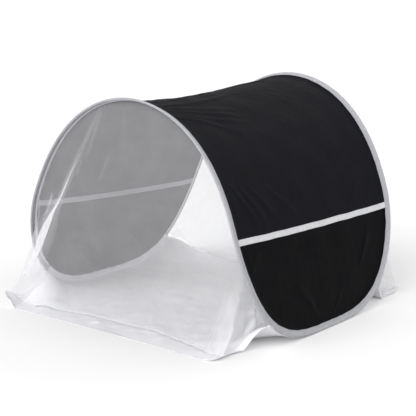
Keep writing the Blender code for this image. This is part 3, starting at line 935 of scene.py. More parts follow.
class Rim:
    """Points and frames along the hoop's front or rear half, left foot to right foot.

    inward points along the cloth away from the wire, outward points out of the canopy, and
    width is the binding's width at each station. steps is how finely each foot and the crown
    are traced before the stations are set.
    """

    steps: int = 2400
    stations: int = 560

    def __init__(self, form: TentForm, end: End) -> None:
        """Trace the rim in the flat drawing and set even stations along it.

        Args:
            form: the tent's form.
            end: the end that the rim is at.
        """
        first = math.asin(form.foot_flat / 2 / form.half_hoop)
        length = form.half_hoop * np.sin(np.linspace(first, math.pi / 2, self.steps))
        foot = form.arc_at_half_length(length)
        crown = np.linspace(foot[-1], -foot[-1], self.steps)[1:-1]
        arc = np.concatenate([[form.foot_arc], foot, crown, -foot[::-1], [-form.foot_arc]])
        y = np.concatenate([[0.0], length, np.full(len(crown), form.half_hoop), length[::-1],
                            [0.0]])
        arc, y = arc[::-1], y[::-1] * end
        point = form.surface(arc, y)
        run = running_length(point)
        self.end = end
        self.run = np.linspace(0.0, run[-1], self.stations)
        self.arc = np.interp(self.run, run, arc)
        self.y = np.interp(self.run, run, y)
        self.point = form.surface(self.arc, self.y)
        self.along = unit(np.gradient(self.point, axis=0))
        flat = np.stack([self.arc, self.y], axis=-1)
        tangent = unit(np.gradient(flat, axis=0))
        side = np.stack([-tangent[:, 1], tangent[:, 0]], axis=-1)
        side *= np.sign(-np.sum(side * flat, axis=1))[:, None]
        inner = flat + side * form.binding_width
        into = form.surface(inner[:, 0], inner[:, 1]) - self.point
        into -= self.along * np.sum(into * self.along, axis=1, keepdims=True)
        self.inward = unit(into)
        outward = np.cross(self.along, self.inward)
        just_inside = form.normal(self.arc * 0.999, self.y * 0.98)
        self.outward = outward * np.sign(np.sum(outward * just_inside, axis=1))[:, None]
        low = smooth_step(1.0 - self.point[:, 2] / form.foot_height)
        self.width = form.binding_width * (1.0 - form.foot_narrowing * low)

    def offset(self, inward: Array | float, outward: Array | float,
               rows: slice = slice(None)) -> Array:
        """Points beside the wire, by their place in each station's frame.

        Args:
            inward: distance along the cloth, away from the wire.
            outward: distance out of the canopy.
            rows: the stations that are wanted.

        Returns:
            One point for each station.
        """
        return (
            self.point[rows]
            + self.inward[rows] * np.asarray(inward)[..., None]
            + self.outward[rows] * np.asarray(outward)[..., None]
        )

    def station(self, arc: float, side: Side) -> int:
        """Station nearest to an arc length on one side."""
        return int(np.argmin(np.abs(self.arc - side * arc)))

    def between(self, arc: float) -> slice:
        """Stations of the arch above an arc length on both sides."""
        return slice(self.station(arc, Side.LEFT), self.station(arc, Side.RIGHT) + 1)

    def arcs_between(self, low: float, high: float, count: int) -> Array:
        """Arc lengths even along the hoop between two arc lengths on the right side.

        Args:
            low: the first arc length.
            high: the last one.
            count: how many are wanted.

        Returns:
            The arc lengths.
        """
        half = self.arc >= 0.0
        arc, run = self.arc[half], self.run[half]
        start, stop = np.interp([low, high], arc, run)
        return np.interp(np.linspace(start, stop, count), run, arc)


# Stitches

@dataclass(frozen=True)
class Stitches:
    """Machine stitches: short thread bars that arch a little out of the cloth.

    end is how thick a bar's two ends are, as a share of its middle, and sunk is the share of
    its rise that lies in the cloth. A bar takes the part of its arch between the shares of
    span, so that its ends are blunt.
    """

    length: float = 2.5 * MM
    pitch: float = 3.6 * MM
    width: float = 0.55 * MM
    rise: float = 0.32 * MM
    end: float = 0.45
    sunk: float = 0.25
    span: tuple[float, float] = (0.06, 0.94)
    sides: int = 5
    steps: int = 4

    def template(self) -> Array:
        """One stitch as rings of points in the axes (along, across, out of the cloth).

        Its thickness and height follow end + (1 - end) sin(pi t) along the stitch.

        Returns:
            The rings, shape (steps, sides, 3).
        """
        t = np.linspace(*self.span, self.steps)
        body = self.end + (1.0 - self.end) * np.sin(np.pi * t)
        turn = np.linspace(0.0, 2.0 * np.pi, self.sides, endpoint=False)
        along = (t - 0.5) * self.length
        across = body[:, None] * np.cos(turn)[None] * self.width / 2
        out = body[:, None] * (np.sin(turn)[None] * 0.5 + (0.5 - self.sunk)) * self.rise
        return np.stack([np.broadcast_to(along[:, None], across.shape), across, out], axis=-1)

    def bar_faces(self) -> list[list[int]]:
        """Join up one stitch, its ends closed.

        Returns:
            The point numbers of each face.
        """
        quads = grid_faces(self.steps, self.sides, closed=True)[:, ::-1].tolist()
        ring = list(range(self.sides))
        last = (self.steps - 1) * self.sides
        return quads + [ring, [last + index for index in reversed(ring)]]

    def sew(self, name: str, lines: list[tuple[Array, Array]], finish: Finish,
            slot: str) -> Object:
        """Sew along one or more lines, as one piece of thread.

        Args:
            name: the piece's name.
            lines: pairs of points and normals along each line, on the cloth's face.
            finish: the thread's finish.
            slot: the material slot it belongs to.

        Returns:
            The stitches.
        """
        rows = []
        for points, normals in lines:
            run = running_length(points)
            wanted = np.arange(self.pitch, run[-1] - self.pitch, self.pitch)
            centre = at_lengths(points, run, wanted)
            up = unit(at_lengths(np.asarray(normals), run, wanted))
            ahead = unit(at_lengths(unit(np.gradient(points, axis=0)), run, wanted))
            across = unit(np.cross(up, ahead))
            frames = np.stack([ahead, across, up], axis=1)
            shape = self.template().reshape(-1, 3)
            rows.append(centre[:, None] + np.einsum("kp,npx->nkx", shape, frames))
        points = np.concatenate(rows)
        count = points.shape[1]
        starts = np.arange(len(points)) * count
        faces = [[start + index for index in face] for face in self.bar_faces()
                 for start in starts.tolist()]
        return Piece(name, finish, slot).place(make_mesh(name, points, faces))


STITCHES = Stitches()


# Hoop

@dataclass
class Hoop:
    """One closed spring-steel wire inside the binding, with its crimped joint."""

    wire_radius: float = 1.7 * MM
    sides: int = 16

    def build(self, rims: dict[End, Rim]) -> None:
        """Round wire carried along the whole hoop; the ferrule keeps its CAD shape.

        Args:
            rims: both halves of the hoop, which share their first and last stations.
        """
        front, rear = rims[End.FRONT], rims[End.REAR]
        path, inward, outward = (
            np.concatenate([ahead, back[-2:0:-1]]) for ahead, back in (
                (front.point, rear.point), (front.inward, rear.inward),
                (front.outward, rear.outward)))
        turn = np.linspace(0.0, 2.0 * np.pi, self.sides, endpoint=False)
        rings = path[:, None] + self.wire_radius * (
            inward[:, None] * np.cos(turn)[None, :, None]
            + outward[:, None] * np.sin(turn)[None, :, None]
        )
        mesh = ring_mesh("hoop_wire", rings, capped=False)
        Piece("spring_wire", STEEL, "spring_steel", ("hoop_wire",)).place(mesh)
        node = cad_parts["hoop_ferrule"]
        node.material_slots[0].material = STEEL.material()


# Binding

@dataclass
class Binding:
    """Grey tape folded round one half of the hoop, its two leaves on the canopy's faces."""

    form: TentForm
    bead_steps: int = 20
    bead_open: float = 50.0
    neck_steps: int = 6
    leaf_steps: int = 5
    pucker: Waves = Waves(11.0 * MM, 0.12 * MM, 5, (1.0, 0.25))
    tip: Waves = Waves(46.0 * MM, 0.35 * MM, 11)
    stitch_inset: float = 2.0 * MM

    def outline(self, radius: float, face: float) -> Array:
        """Open line from the upper leaf's tip round the wire to the lower leaf's tip.

        The bead leaves bead_open degrees open on each side of the neck, which eases from the
        bead to the leaf with a smooth step.

        Args:
            radius: the bead's radius.
            face: distance of the leaves from the canopy's middle.

        Returns:
            The line's points (inward, outward).
        """
        form = self.form
        turn = np.radians(np.linspace(self.bead_open, 360.0 - self.bead_open, self.bead_steps))
        bead = np.stack([radius * np.cos(turn), radius * np.sin(turn)], axis=-1)
        ease = np.linspace(0.0, 1.0, self.neck_steps)[:-1]
        neck_x = form.leaf_root + (bead[0, 0] - form.leaf_root) * ease
        neck_y = face + (bead[0, 1] - face) * smooth_step(ease)
        leaf_x = np.linspace(form.binding_width, form.leaf_root, self.leaf_steps)[:-1]
        upper = np.concatenate([
            np.stack([leaf_x, np.full(len(leaf_x), face)], axis=-1),
            np.stack([neck_x, neck_y], axis=-1),
        ])
        return np.concatenate([upper, bead, upper[::-1] * np.array([1.0, -1.0])])

    def profile(self) -> Array:
        """Closed outline of the folded tape.

        Returns:
            The outline's points (inward, outward), the outer face first.
        """
        form = self.form
        outer = self.outline(form.bead_radius, form.leaf_face)
        inner = self.outline(form.bead_radius - form.binding_thickness, form.slot_half)
        return np.concatenate([outer, inner[::-1]])

    def build(self, rim: Rim) -> None:
        """Folded tape swept along the rim, its outer face puckered a little by the sewing.

        Args:
            rim: the half of the hoop that it covers.
        """
        outline = self.profile()
        count = len(outline)
        half = count // 2
        run = rim.run[:, None]
        leaf = smooth_step((outline[:, 0] - self.form.leaf_root) / self.form.leaf_root)
        outer = (np.arange(count) < half).astype(float)
        wave = self.pucker.over(run, outline[None, :, 0], rim.end)
        puff = wave * leaf * outer * np.sign(outline[:, 1])
        tip = self.tip.over(run, 0.0 * run, rim.end) * leaf
        beyond = np.maximum(outline[None, :, 0] - self.form.leaf_root, 0.0)
        narrow = (self.form.binding_width - rim.width) / (
            self.form.binding_width - self.form.leaf_root)
        inward = outline[None, :, 0] - beyond * narrow[:, None] + tip
        outward = outline[None, :, 1] + puff
        rings = (
            rim.point[:, None]
            + rim.inward[:, None] * inward[..., None]
            + rim.outward[:, None] * outward[..., None]
        )
        across = running_length(outline)
        uv = np.stack(np.broadcast_arrays(run, across[None]), axis=-1)
        name = "binding_" + rim.end.word
        piece = Piece(name, GREY_TAPE, "grey_binding_tape", ("hoop_" + name,))
        obj = piece.place(ring_mesh(name, rings, uv))
        obj.data.set_sharp_from_angle(angle=SHARP_ANGLE)
        lines = [(rim.offset(rim.width - self.stitch_inset, face * self.form.leaf_face),
                  rim.outward * face) for face in (1.0, -1.0)]
        STITCHES.sew(name + "_stitches", lines, GREY_THREAD, "grey_binding_tape")


# Canopy

@dataclass(frozen=True)
class Crease:
    """One raised fold of the canopy, drawn on the flat cloth from start to stop.

    Its section is a Gaussian of the width, its height fades to nothing at both ends, and
    bend bows it sideways. These three sizes are in millimetres.
    """

    start: tuple[float, float]
    stop: tuple[float, float]
    height: float
    width: float
    bend: float = 0.0

    def lift(self, arc: Array, y: Array) -> Array:
        """Height of the fold over flat points: h * bell(away / w) * sin(pi t)^0.6.

        t runs from 0 to 1 along the fold, and its width w grows with 0.55 + 0.9 t.

        Args:
            arc: the flat points' arc lengths.
            y: their places along the tent.

        Returns:
            The height at each of them.
        """
        start = np.array(self.start)
        line = np.array(self.stop) - start
        length = float(np.hypot(*line))
        along = ((arc - start[0]) * line[0] + (y - start[1]) * line[1]) / length ** 2
        away = ((arc - start[0]) * line[1] - (y - start[1]) * line[0]) / length
        t = np.clip(along, 0.0, 1.0)
        away = away - self.bend * MM * np.sin(np.pi * t)
        past = np.abs(along - t) * length
        width = self.width * MM * (0.55 + 0.9 * t)
        body = bell(away / width) * np.sin(np.pi * t) ** 0.6 * bell(past / width)
        return self.height * MM * body


CREASES = tuple(Crease(*row) for row in (
    ((0.060, -0.410), (0.030, 0.020), 3.4, 9.0, 8.0),
    ((0.072, -0.412), (0.135, -0.080), 3.0, 9.0, -6.0),
    ((0.088, -0.412), (0.185, -0.040), 2.8, 9.0, -8.0),
    ((0.100, -0.412), (0.195, -0.070), 2.2, 7.0, 10.0),
    ((0.115, -0.412), (0.240, -0.140), 2.4, 9.0, -6.0),
    ((0.030, -0.412), (-0.060, 0.060), 2.6, 11.0, 6.0),
    ((0.010, -0.412), (-0.150, -0.020), 2.2, 11.0),
    ((-0.110, -0.405), (-0.230, -0.100), 2.4, 11.0, 6.0),
    ((0.370, -0.360), (0.520, -0.270), 2.4, 9.0),
    ((0.380, -0.320), (0.528, -0.230), 2.4, 9.0),
    ((0.400, -0.270), (0.532, -0.160), 2.2, 9.0),
    ((0.405, -0.195), (0.525, -0.070), 1.8, 9.0),
    ((0.455, 0.110), (0.395, 0.270), 2.2, 10.0),
    ((0.520, 0.200), (0.430, 0.320), 2.0, 10.0),
    ((0.060, 0.405), (0.150, 0.150), 2.6, 11.0, 5.0),
    ((-0.040, 0.408), (-0.090, 0.080), 2.6, 12.0, -6.0),
    ((-0.180, 0.402), (-0.260, 0.170), 2.2, 11.0),
    ((0.830, 0.030), (0.760, 0.100), 1.6, 8.0),
    ((0.720, 0.200), (0.610, 0.280), 1.8, 9.0),
    ((0.640, -0.360), (0.560, -0.290), 1.4, 9.0),
    ((0.835, -0.040), (0.700, -0.150), 1.8, 10.0, 6.0),
    ((-0.835, 0.020), (-0.720, 0.160), 1.8, 10.0, -6.0),
    ((-0.830, -0.030), (-0.700, -0.180), 1.8, 10.0, 5.0),
    ((-0.400, -0.350), (-0.540, -0.240), 1.8, 10.0),
    ((-0.390, 0.330), (-0.530, 0.230), 1.8, 10.0),
))


@dataclass
class Canopy:
    """Black saddle cloth in three panels, and the four tapes over their two seams."""

    form: TentForm
    thickness: float = 0.5 * MM
    edge_inset: float = 7.0 * MM
    edge_calm: float = 26.0 * MM
    crease_factor: float = 1.3
    drape: Waves = Waves(0.135, 0.75 * MM, 3)
    fine: Waves = Waves(0.041, 0.18 * MM, 8)
    seam_gap: float = 0.6 * MM
    seam_bow: float = 5.0 * MM
    seam_calm: float = 0.75
    seam_reach: float = 24.0 * MM
    tape_width: float = 17.6 * MM
    tape_thickness: float = 0.4 * MM
    tape_inset: float = 9.0 * MM
    tape_seat: float = 0.52 * MM
    tape_wander: Waves = Waves(0.11, 0.35 * MM, 21)
    tape_pucker: Waves = Waves(9.0 * MM, 0.05 * MM, 31, (1.0, 0.3))
    tape_rows: int = 9
    tape_columns: int = 280
    columns: int = 190
    crown_rows: int = 232
    side_rows: int = 96

    def relief(self, arc: Array, y: Array) -> Array:
        """How far the cloth stands off the plain saddle: creases and soft waves.

        It is nothing inside the binding, grows within edge_calm, and is less by the share
        seam_calm along the seams.

        Args:
            arc: the flat points' arc lengths.
            y: their places along the tent.

        Returns:
            The height at each of them.
        """
        lift = self.crease_factor * sum(crease.lift(arc, y) for crease in CREASES)
        lift = lift + self.drape.over(arc, y) + self.fine.over(arc, y)
        distance = self.form.edge_distance(arc, y)
        free = smooth_step((distance - self.form.binding_width) / self.edge_calm)
        off_seam = np.abs(arc) - self.seam_arc(arc, y)
        return lift * free * (1.0 - self.seam_calm * bell(off_seam / self.seam_reach))

    def seam_arc(self, arc: Array, y: Array) -> Array:
        """Arc length of the seam on the point's own side, straight from rim to rim.

        Args:
            arc: the flat points' arc lengths.
            y: their places along the tent.

        Returns:
            The seam's arc length beside each of them.
        """
        share = (y + self.form.half_hoop) / self.form.hoop_length
        total = 0.0
        for side in Side:
            front, rear = (self.form.arc_at_height(SEAM_HEIGHTS[end, side]) for end in End)
            total = total + np.where(np.sign(arc) == side, front + (rear - front) * share, 0.0)
        return total

    def lay(self, arc: Array, y: Array, lift: Array | float = 0.0) -> tuple[Array, Array]:
        """Points of the draped cloth.

        Args:
            arc: the flat points' arc lengths.
            y: their places along the tent.
            lift: how far they are off the cloth's middle, along the normal.

        Returns:
            The points and the plain saddle's normals.
        """
        normal = self.form.normal(arc, y)
        height = self.relief(arc, y) + lift
        return self.form.surface(arc, y) + normal * height[..., None], normal

    def rows(self, front: Array, rear: Array) -> tuple[Array, Array]:
        """Flat points on rows that join matching places of the two rims.

        Args:
            front: arc lengths along the front rim.
            rear: arc lengths along the rear rim, the same number.

        Returns:
            The grid's arc lengths and its y places, shape (rows, columns).
        """
        first = self.form.inset(front, End.FRONT, self.edge_inset)
        last = self.form.inset(rear, End.REAR, self.edge_inset)
        share = np.linspace(0.0, 1.0, self.columns)[None]
        arc = first[0][:, None] + (last[0] - first[0])[:, None] * share
        y = first[1][:, None] + (last[1] - first[1])[:, None] * share
        return arc, y

    def panel(self, name: str, arc: Array, y: Array, node: str) -> Object:
        """One panel as a closed thin shell.

        Args:
            name: the piece's name.
            arc: arc lengths of its grid.
            y: places of its grid along the tent.
            node: the CAD node that it stands for.

        Returns:
            The panel.
        """
        points, outward = self.lay(arc, y)
        normals = grid_normals(points)
        normals *= np.sign(np.sum(normals * outward, axis=-1, keepdims=True))
        uv = np.stack([arc, y], axis=-1)
        # The side panels take the darker copy of the black cloth, which is painted shade for their
        # sideways faces.
        finish = BLACK_CLOTH if node == "canopy_crown" else SHADED_SIDE_PANEL_CLOTH
        piece = Piece(name, finish, "black_canopy_cloth", (node,))
        return piece.place(shell_mesh(name, points, uv, self.thickness, normals))

    def tape(self, side: Side, face: int) -> Object:
        """Seam tape with its ends under the binding, bowed up a little between them.

        Args:
            side: the side that the seam is on.
            face: 1 for the canopy's outer face, -1 for its inner face.

        Returns:
            The tape.
        """
        form = self.form
        first, last = (
            form.inset(np.array(form.arc_at_height(SEAM_HEIGHTS[end, side])), end,
                       self.tape_inset) for end in End)
        share = np.linspace(0.0, 1.0, self.tape_columns)[None]
        across = np.linspace(-0.5, 0.5, self.tape_rows)[:, None] * self.tape_width
        wander = self.tape_wander.over(share * form.hoop_length, 0.0 * share, side)
        bow = self.seam_bow * (1.0 - (2.0 * share - 1.0) ** 2)
        arc = side * (first[0] + (last[0] - first[0]) * share + bow) + across + wander
        y = first[1] + (last[1] - first[1]) * share + 0.0 * across
        pucker = self.tape_pucker.over(y, across, face)
        middle, normal = self.lay(arc, y, face * (self.tape_seat + np.abs(pucker)))
        uv = np.stack(np.broadcast_arrays(y, arc - side * first[0]), axis=-1)
        name = "seam_tape_%s_%s" % ("outer" if face > 0 else "inner", side.word)
        mesh = shell_mesh(name, middle, uv, self.tape_thickness, normal * face)
        top = middle + normal * face * self.tape_thickness / 2
        lines = [(top[row], normal[row] * face) for row in (1, -2)]
        STITCHES.sew(name + "_stitches", lines, GREY_THREAD, "light_seam_tape")
        # Tapes on the inner face take the darker copy of the light tape, which is painted shade.
        finish = LIGHT_TAPE if face > 0 else SHADED_INNER_SEAM_TAPE
        return Piece("cover_" + name, finish, "light_seam_tape", (name,)).place(mesh)

    def build(self, rims: dict[End, Rim]) -> None:
        """Three panels that butt at the seams, and the tapes over them.

        Args:
            rims: both halves of the hoop.
        """
        form = self.form
        tapes = {side: [self.tape(side, face) for face in (1, -1)] for side in Side}
        seams = {key: form.arc_at_height(height) for key, height in SEAM_HEIGHTS.items()}
        gap = self.seam_gap / 2
        ends = [np.linspace(gap - seams[end, Side.LEFT], seams[end, Side.RIGHT] - gap,
                            self.crown_rows) for end in End]
        arc, y = self.rows(*ends)
        crown = self.panel("crown_panel", arc, y, "canopy_crown")
        for side in Side:
            ends = [side * rims[end].arcs_between(seams[end, side] + gap, form.foot_arc,
                                                  self.side_rows) for end in End]
            arc, y = self.rows(*ends)
            panel = self.panel("side_panel_" + side.word, arc, y, "canopy_side_" + side.word)


# Base sheet

@dataclass(frozen=True)
class Corner:
    """A free corner of the base sheet and of the net above it.

    inset is measured from the feet; lean and rise place the flap's tip, and the flap grows
    over the shares of grow between the tie and the corner. The sheet's edge runs out from
    the tie by flare and is on the floor at drop, a share of its free length. The net's hem
    turns the corner at turn, at fold it has gone the share back towards the tie, and it ends
    step from the tie. It is bunched by gather over the shares of span, with loose folds as
    high as crumple.
    """

    inset: float
    lean: float
    rise: float
    flare: float = 4.0
    drop: float = 0.38
    turn: float = 0.86
    fold: float = 0.93
    back: float = 0.5
    step: float = 12.0 * MM
    gather: float = 0.3
    span: tuple[float, float] = (0.86, 1.02)
    crumple: float = 0.0
    grow: tuple[float, float] = (0.0, 0.7)


CORNERS = {
    (End.FRONT, Side.LEFT): Corner(35.0 * MM, 34.0 * MM, 42.0 * MM, drop=0.75, turn=0.82,
                                   fold=0.91, gather=0.0, crumple=0.8 * MM, grow=(0.30, 1.0)),
    (End.FRONT, Side.RIGHT): Corner(78.0 * MM, 16.0 * MM, 10.0 * MM, drop=0.34, turn=0.76,
                                    fold=0.87, back=0.92, step=6.0 * MM, gather=1.1,
                                    span=(0.68, 0.895), crumple=4.0 * MM),
    (End.REAR, Side.LEFT): Corner(37.0 * MM, 24.0 * MM, 9.0 * MM, drop=0.9, grow=(0.30, 1.0)),
    (End.REAR, Side.RIGHT): Corner(34.0 * MM, 12.0 * MM, 22.0 * MM),
}


@dataclass
class BaseSheet:
    """White sheet on the floor: it turns up along the feet and flares past the ties.

    feet and tips hold each side's edge from front to rear, with x measured outward: the line
    where the sheet turns up, and the turned-up edge itself.
    """

    form: TentForm
    rims: dict[End, Rim]
    thickness: float = 0.7 * MM
    middle: float = 0.6 * MM
    edge_bow: float = 8.0 * MM
    bow_power: int = 5
    upstand: float = 15.0 * MM
    edge_ease: float = 1.8 * MM
    edge_wave: Waves = Waves(0.07, 1.2 * MM, 40)
    lift_share: float = 0.32
    lift_power: float = 1.5
    corner_round: float = 24.0 * MM
    corner_fall: float = 0.45
    broad: Waves = Waves(0.16, 2.2 * MM, 14)
    small: Waves = Waves(0.055, 0.9 * MM, 15, (1.0, 0.7))
    front_start: float = 0.28
    rear_start: float = 0.20
    wrinkle_ease: float = 0.15
    wrinkle_power: int = 10
    end_calm: float = 60.0 * MM
    hem_width: float = 12.0 * MM
    hem_thickness: float = 0.45 * MM
    hem_roll: float = 0.25 * MM
    hem_gap: float = 0.1 * MM
    hem_steps: int = 6
    free_rows: int = 60
    row_crowding: float = 1.5
    across_steps: int = 124
    most_across: float = 0.999999
    wall_steps: int = 8

    def __post_init__(self) -> None:
        """Work out both side edges."""
        self.feet = {}
        self.tips = {}
        for side in Side:
            self.feet[side], self.tips[side] = self.side_edge(side)

    def side_edge(self, side: Side) -> tuple[Array, Array]:
        """Feet and tips of one side edge, front to rear.

        Between the ties they follow the hoop. Past a tie the foot runs out to the corner,
        drops to the floor and ends in a quarter circle of corner_round, and the flap's tip
        grows above it with a smooth step.

        Args:
            side: the side.

        Returns:
            The feet and the tips, with x outward.
        """
        form = self.form
        feet, tips = [], []
        for end, order in ((End.FRONT, 1), (End.REAR, -1)):
            rim = self.rims[end]
            # Both halves of the hoop end at the same foot station, so the front one drops it.
            last = len(rim.point) - (1 if end == End.FRONT else 0)
            rows = slice(rim.station(form.tie_arc, Side.RIGHT), last)
            foot = rim.offset(-form.bead_radius, -form.bead_radius - self.edge_ease, rows)
            foot[:, 2] = np.maximum(foot[:, 2], self.middle)
            seat = form.leaf_face + form.seat_gap + self.middle
            feet.append(foot[::order])
            tips.append(rim.offset(self.upstand, -seat, rows)[::order])
        left_over = 1.0 - np.linspace(0.0, 1.0, self.free_rows + 1)[1:]
        past = 1.0 - left_over ** self.row_crowding
        for end, held in ((End.FRONT, feet[0][0]), (End.REAR, feet[-1][-1])):
            corner = CORNERS[end, side]
            out = form.floor_width / 2 - corner.inset
            left = float(form.base_half(end)) - abs(held[1])
            turned = np.clip(1.0 - left * (1.0 - past) / self.corner_round, 0.0, 1.0)
            rounding = self.corner_round * (1.0 - np.sqrt(1.0 - turned ** 2))
            free = np.stack([
                out + (held[0] - out) * (1.0 - past) ** corner.flare - rounding,
                held[1] + end * left * past,
                self.middle + (held[2] - self.middle) * (1.0 - smooth_step(past / corner.drop)),
            ], axis=-1)
            flap = np.array([corner.lean, 0.0, corner.rise])
            start, full = corner.grow
            grown = smooth_step((past - start) / (full - start))
            grown = grown * (1.0 - self.corner_fall * turned ** 2)
            place = 0 if end == End.FRONT else len(feet)
            feet.insert(place, free[::end])
            tips.insert(place, (free + flap * grown[:, None])[::end])
        return np.concatenate(feet), np.concatenate(tips)

    def edge_at(self, edges: dict[Side, Array], side: Side, y: Array) -> Array:
        """Points of a side's feet or tips at given y of the feet, with x outward."""
        rows = self.feet[side][:, 1]
        return np.stack([np.interp(y, rows, edges[side][:, axis]) for axis in range(3)], axis=-1)

    def bow(self, across: Array, y: Array) -> Array:
        """How far the sheet is drawn in along y: it grows to edge_bow at mid end."""
        share = np.abs(y) / self.form.base_half(y)
        return self.edge_bow * (1.0 - across ** 2) * share ** self.bow_power

    def wrinkles(self, across: Array, y: Array) -> Array:
        """Soft wrinkles of the lying sheet, never below the floor.

        They are full in front of the tent, half as high inside it and a tenth at the rear.
        Within end_calm of the sheet's end they sink to 0.35, and the small ones vanish.

        Args:
            across: -1..1 from the left foot to the right one.
            y: places along the tent.

        Returns:
            The height at each point.
        """
        x = across * self.form.floor_width / 2
        front = smooth_step((-y - self.front_start) / self.wrinkle_ease)
        rear = smooth_step((y - self.rear_start) / self.wrinkle_ease)
        calm = smooth_step((self.form.base_half(y) - np.abs(y)) / self.end_calm)
        lift = self.broad.crests(x, y) + self.small.crests(x, y) * calm
        lift = lift * (0.5 + 0.5 * (front - 0.8 * rear)) * (0.35 + 0.65 * calm)
        return lift * (1.0 - np.abs(across) ** self.wrinkle_power)

    def point(self, across: Array, y: Array) -> Array:
        """Points of the sheet's middle layer, without wrinkles.

        Args:
            across: -1..1 from the left foot to the right one.
            y: places along the tent, before the sheet's end is drawn in.

        Returns:
            The points.
        """
        left, right = (self.edge_at(self.feet, side, y) for side in Side)
        foot = np.where(across[..., None] < 0.0, left, right)
        rise = smooth_step((np.abs(across) - (1.0 - self.lift_share)) / self.lift_share)
        return np.stack([
            across * foot[..., 0],
            y - np.sign(y) * self.bow(across, y),
            self.middle + (foot[..., 2] - self.middle) * rise ** self.lift_power,
        ], axis=-1)

    def lay(self, across: Array, y: Array) -> Array:
        """Points of the sheet's middle layer, with its wrinkles.

        Args:
            across: -1..1 from the left foot to the right one.
            y: places along the tent, before the sheet's end is drawn in.

        Returns:
            The points.
        """
        points = self.point(across, y)
        points[..., 2] += self.wrinkles(across, y)
        return points

    def point_at(self, across: Array, y: Array) -> Array:
        """Points of the sheet that end up at given places along the tent.

        Args:
            across: -1..1 from the left foot to the right one.
            y: the places, found again by fixed-point steps with the bow taken off.

        Returns:
            The points.
        """
        flat_y = y
        for _ in range(12):
            flat_y = y + np.sign(y) * self.bow(across, flat_y)
        return self.lay(across, flat_y)

    def flap_point(self, side: Side, y: Array, reach: float, gap: float) -> Array:
        """Points above the inner face of a side edge or its corner flap.

        Args:
            side: the side.
            y: places of the feet along the tent.
            reach: share of the way up from foot to tip.
            gap: distance off the sheet's middle layer.

        Returns:
            The points.
        """
        mirror = np.array([side, 1.0, 1.0])
        foot = self.edge_at(self.feet, side, y) * mirror
        rise = self.edge_at(self.tips, side, y) * mirror - foot
        face = unit(np.stack([-side * rise[:, 2], 0.0 * y, np.abs(rise[:, 0])], axis=-1))
        return foot + rise * reach + face * gap

    def build(self) -> None:
        """White sheet with its turned-up edges, and a folded hem at each end."""
        y = self.feet[Side.RIGHT][:, 1]
        across = np.sin(np.linspace(-1.0, 1.0, self.across_steps + 1) * np.pi / 2)
        across = across * self.most_across
        inner = self.lay(across[None, :] + 0.0 * y[:, None],
                         np.repeat(y[:, None], len(across), axis=1))
        climb = smooth_step(np.linspace(0.0, 1.0, self.wall_steps + 1)[1:])[None, :, None]
        walls = []
        for side in Side:
            edge = inner[:, -1] if side == Side.RIGHT else inner[:, 0]
            mirror = np.array([side, 1.0, 1.0])
            wave = self.edge_wave.over(y, 0.0 * y, side)
            tip = self.tips[side] * mirror
            tip = tip + np.stack([side * wave, 0.0 * wave, 0.4 * wave], axis=-1)
            walls.append(edge[:, None] + (tip - edge)[:, None] * climb)
        grid = np.concatenate([walls[0][:, ::-1], inner, walls[1]], axis=1)
        width = grid_run(grid, 1)
        width -= width.mean(axis=1, keepdims=True)
        uv = np.stack([width, np.repeat(y[:, None], grid.shape[1], axis=1)], axis=-1)
        normals = grid_normals(grid)
        normals *= np.sign(normals[len(y) // 2, grid.shape[1] // 2, 2])
        mesh = shell_mesh("floor_sheet", grid, uv, self.thickness, normals)
        sheet = Piece("floor_sheet", WHITE_SHEET, "white_base_sheet", ("base_sheet",)).place(mesh)
        hems = [self.hem(grid, normals, end) for end in End]

    def hem(self, grid: Array, normals: Array, end: End) -> Object:
        """Folded hem on top of the sheet along one end, between the corner flaps.

        Args:
            grid: the sheet's points.
            normals: its upward normals.
            end: the end.

        Returns:
            The hem.
        """
        row = 0 if end == End.FRONT else -1
        columns = slice(self.wall_steps + 2, -self.wall_steps - 2)
        edge = grid[row, columns]
        near = grid[1 if end == End.FRONT else -2, columns]
        into = unit(near - edge)
        seat = self.thickness / 2 + self.hem_gap + self.hem_thickness / 2
        share = np.linspace(0.0, 1.0, self.hem_steps)
        across = share * self.hem_width
        roll = self.hem_roll * np.sin(np.pi * share)
        points = (
            edge[:, None] + normals[row, columns][:, None] * seat
            + into[:, None] * across[None, :, None] + UP * roll[None, :, None]
        )
        uv = np.stack(np.broadcast_arrays(running_length(edge)[:, None], across[None]), axis=-1)
        name = "base_hem_" + end.word
        up = np.broadcast_to(normals[row, columns][:, None], points.shape)
        top = points[:, -2] + UP * (self.hem_thickness / 2)
        STITCHES.sew(name + "_stitches", [(top, normals[row, columns])], WHITE_THREAD, "white_tape")
        mesh = shell_mesh(name, points, uv, self.hem_thickness, up)
        return Piece("folded_" + name, WHITE_TAPE, "white_tape", (name,)).place(mesh)


# End nets

@dataclass(frozen=True)
class Pull:
    """A stretched line in a net, where the threads bunch and the cloth stands proud.

    Its ends are places in the plane (x, z); widths run from top to foot.
    """

    top: tuple[float, float]
    foot: tuple[float, float]
    widths: tuple[float, float]
    proud: float
    bunch: float

    def place(self, x: Array, z: Array) -> tuple[Array, Array]:
        """Place of points beside the line.

        Args:
            x: the points' x.
            z: their z.

        Returns:
            Their signed distance from the line, and the share along it.
        """
        top = np.array(self.top)
        line = np.array(self.foot) - top
        length = float(np.hypot(*line))
        away = ((x - top[0]) * line[1] - (z - top[1]) * line[0]) / length
        share = ((x - top[0]) * line[0] + (z - top[1]) * line[1]) / length ** 2
        return away, share

    def strength(self, x: Array, z: Array) -> Array:
        """How strongly the line shows, fading over a quarter of it at each end.

        Args:
            x: the points' x.
            z: their z.

        Returns:
            The strength at each point, 0 to 1.
        """
        away, share = self.place(x, z)
        width = self.widths[0] + (self.widths[1] - self.widths[0]) * np.clip(share, 0.0, 1.0)
        fade = smooth_step(share / 0.25) * smooth_step((1.0 - share) / 0.25)
        return bell(away / width) * fade


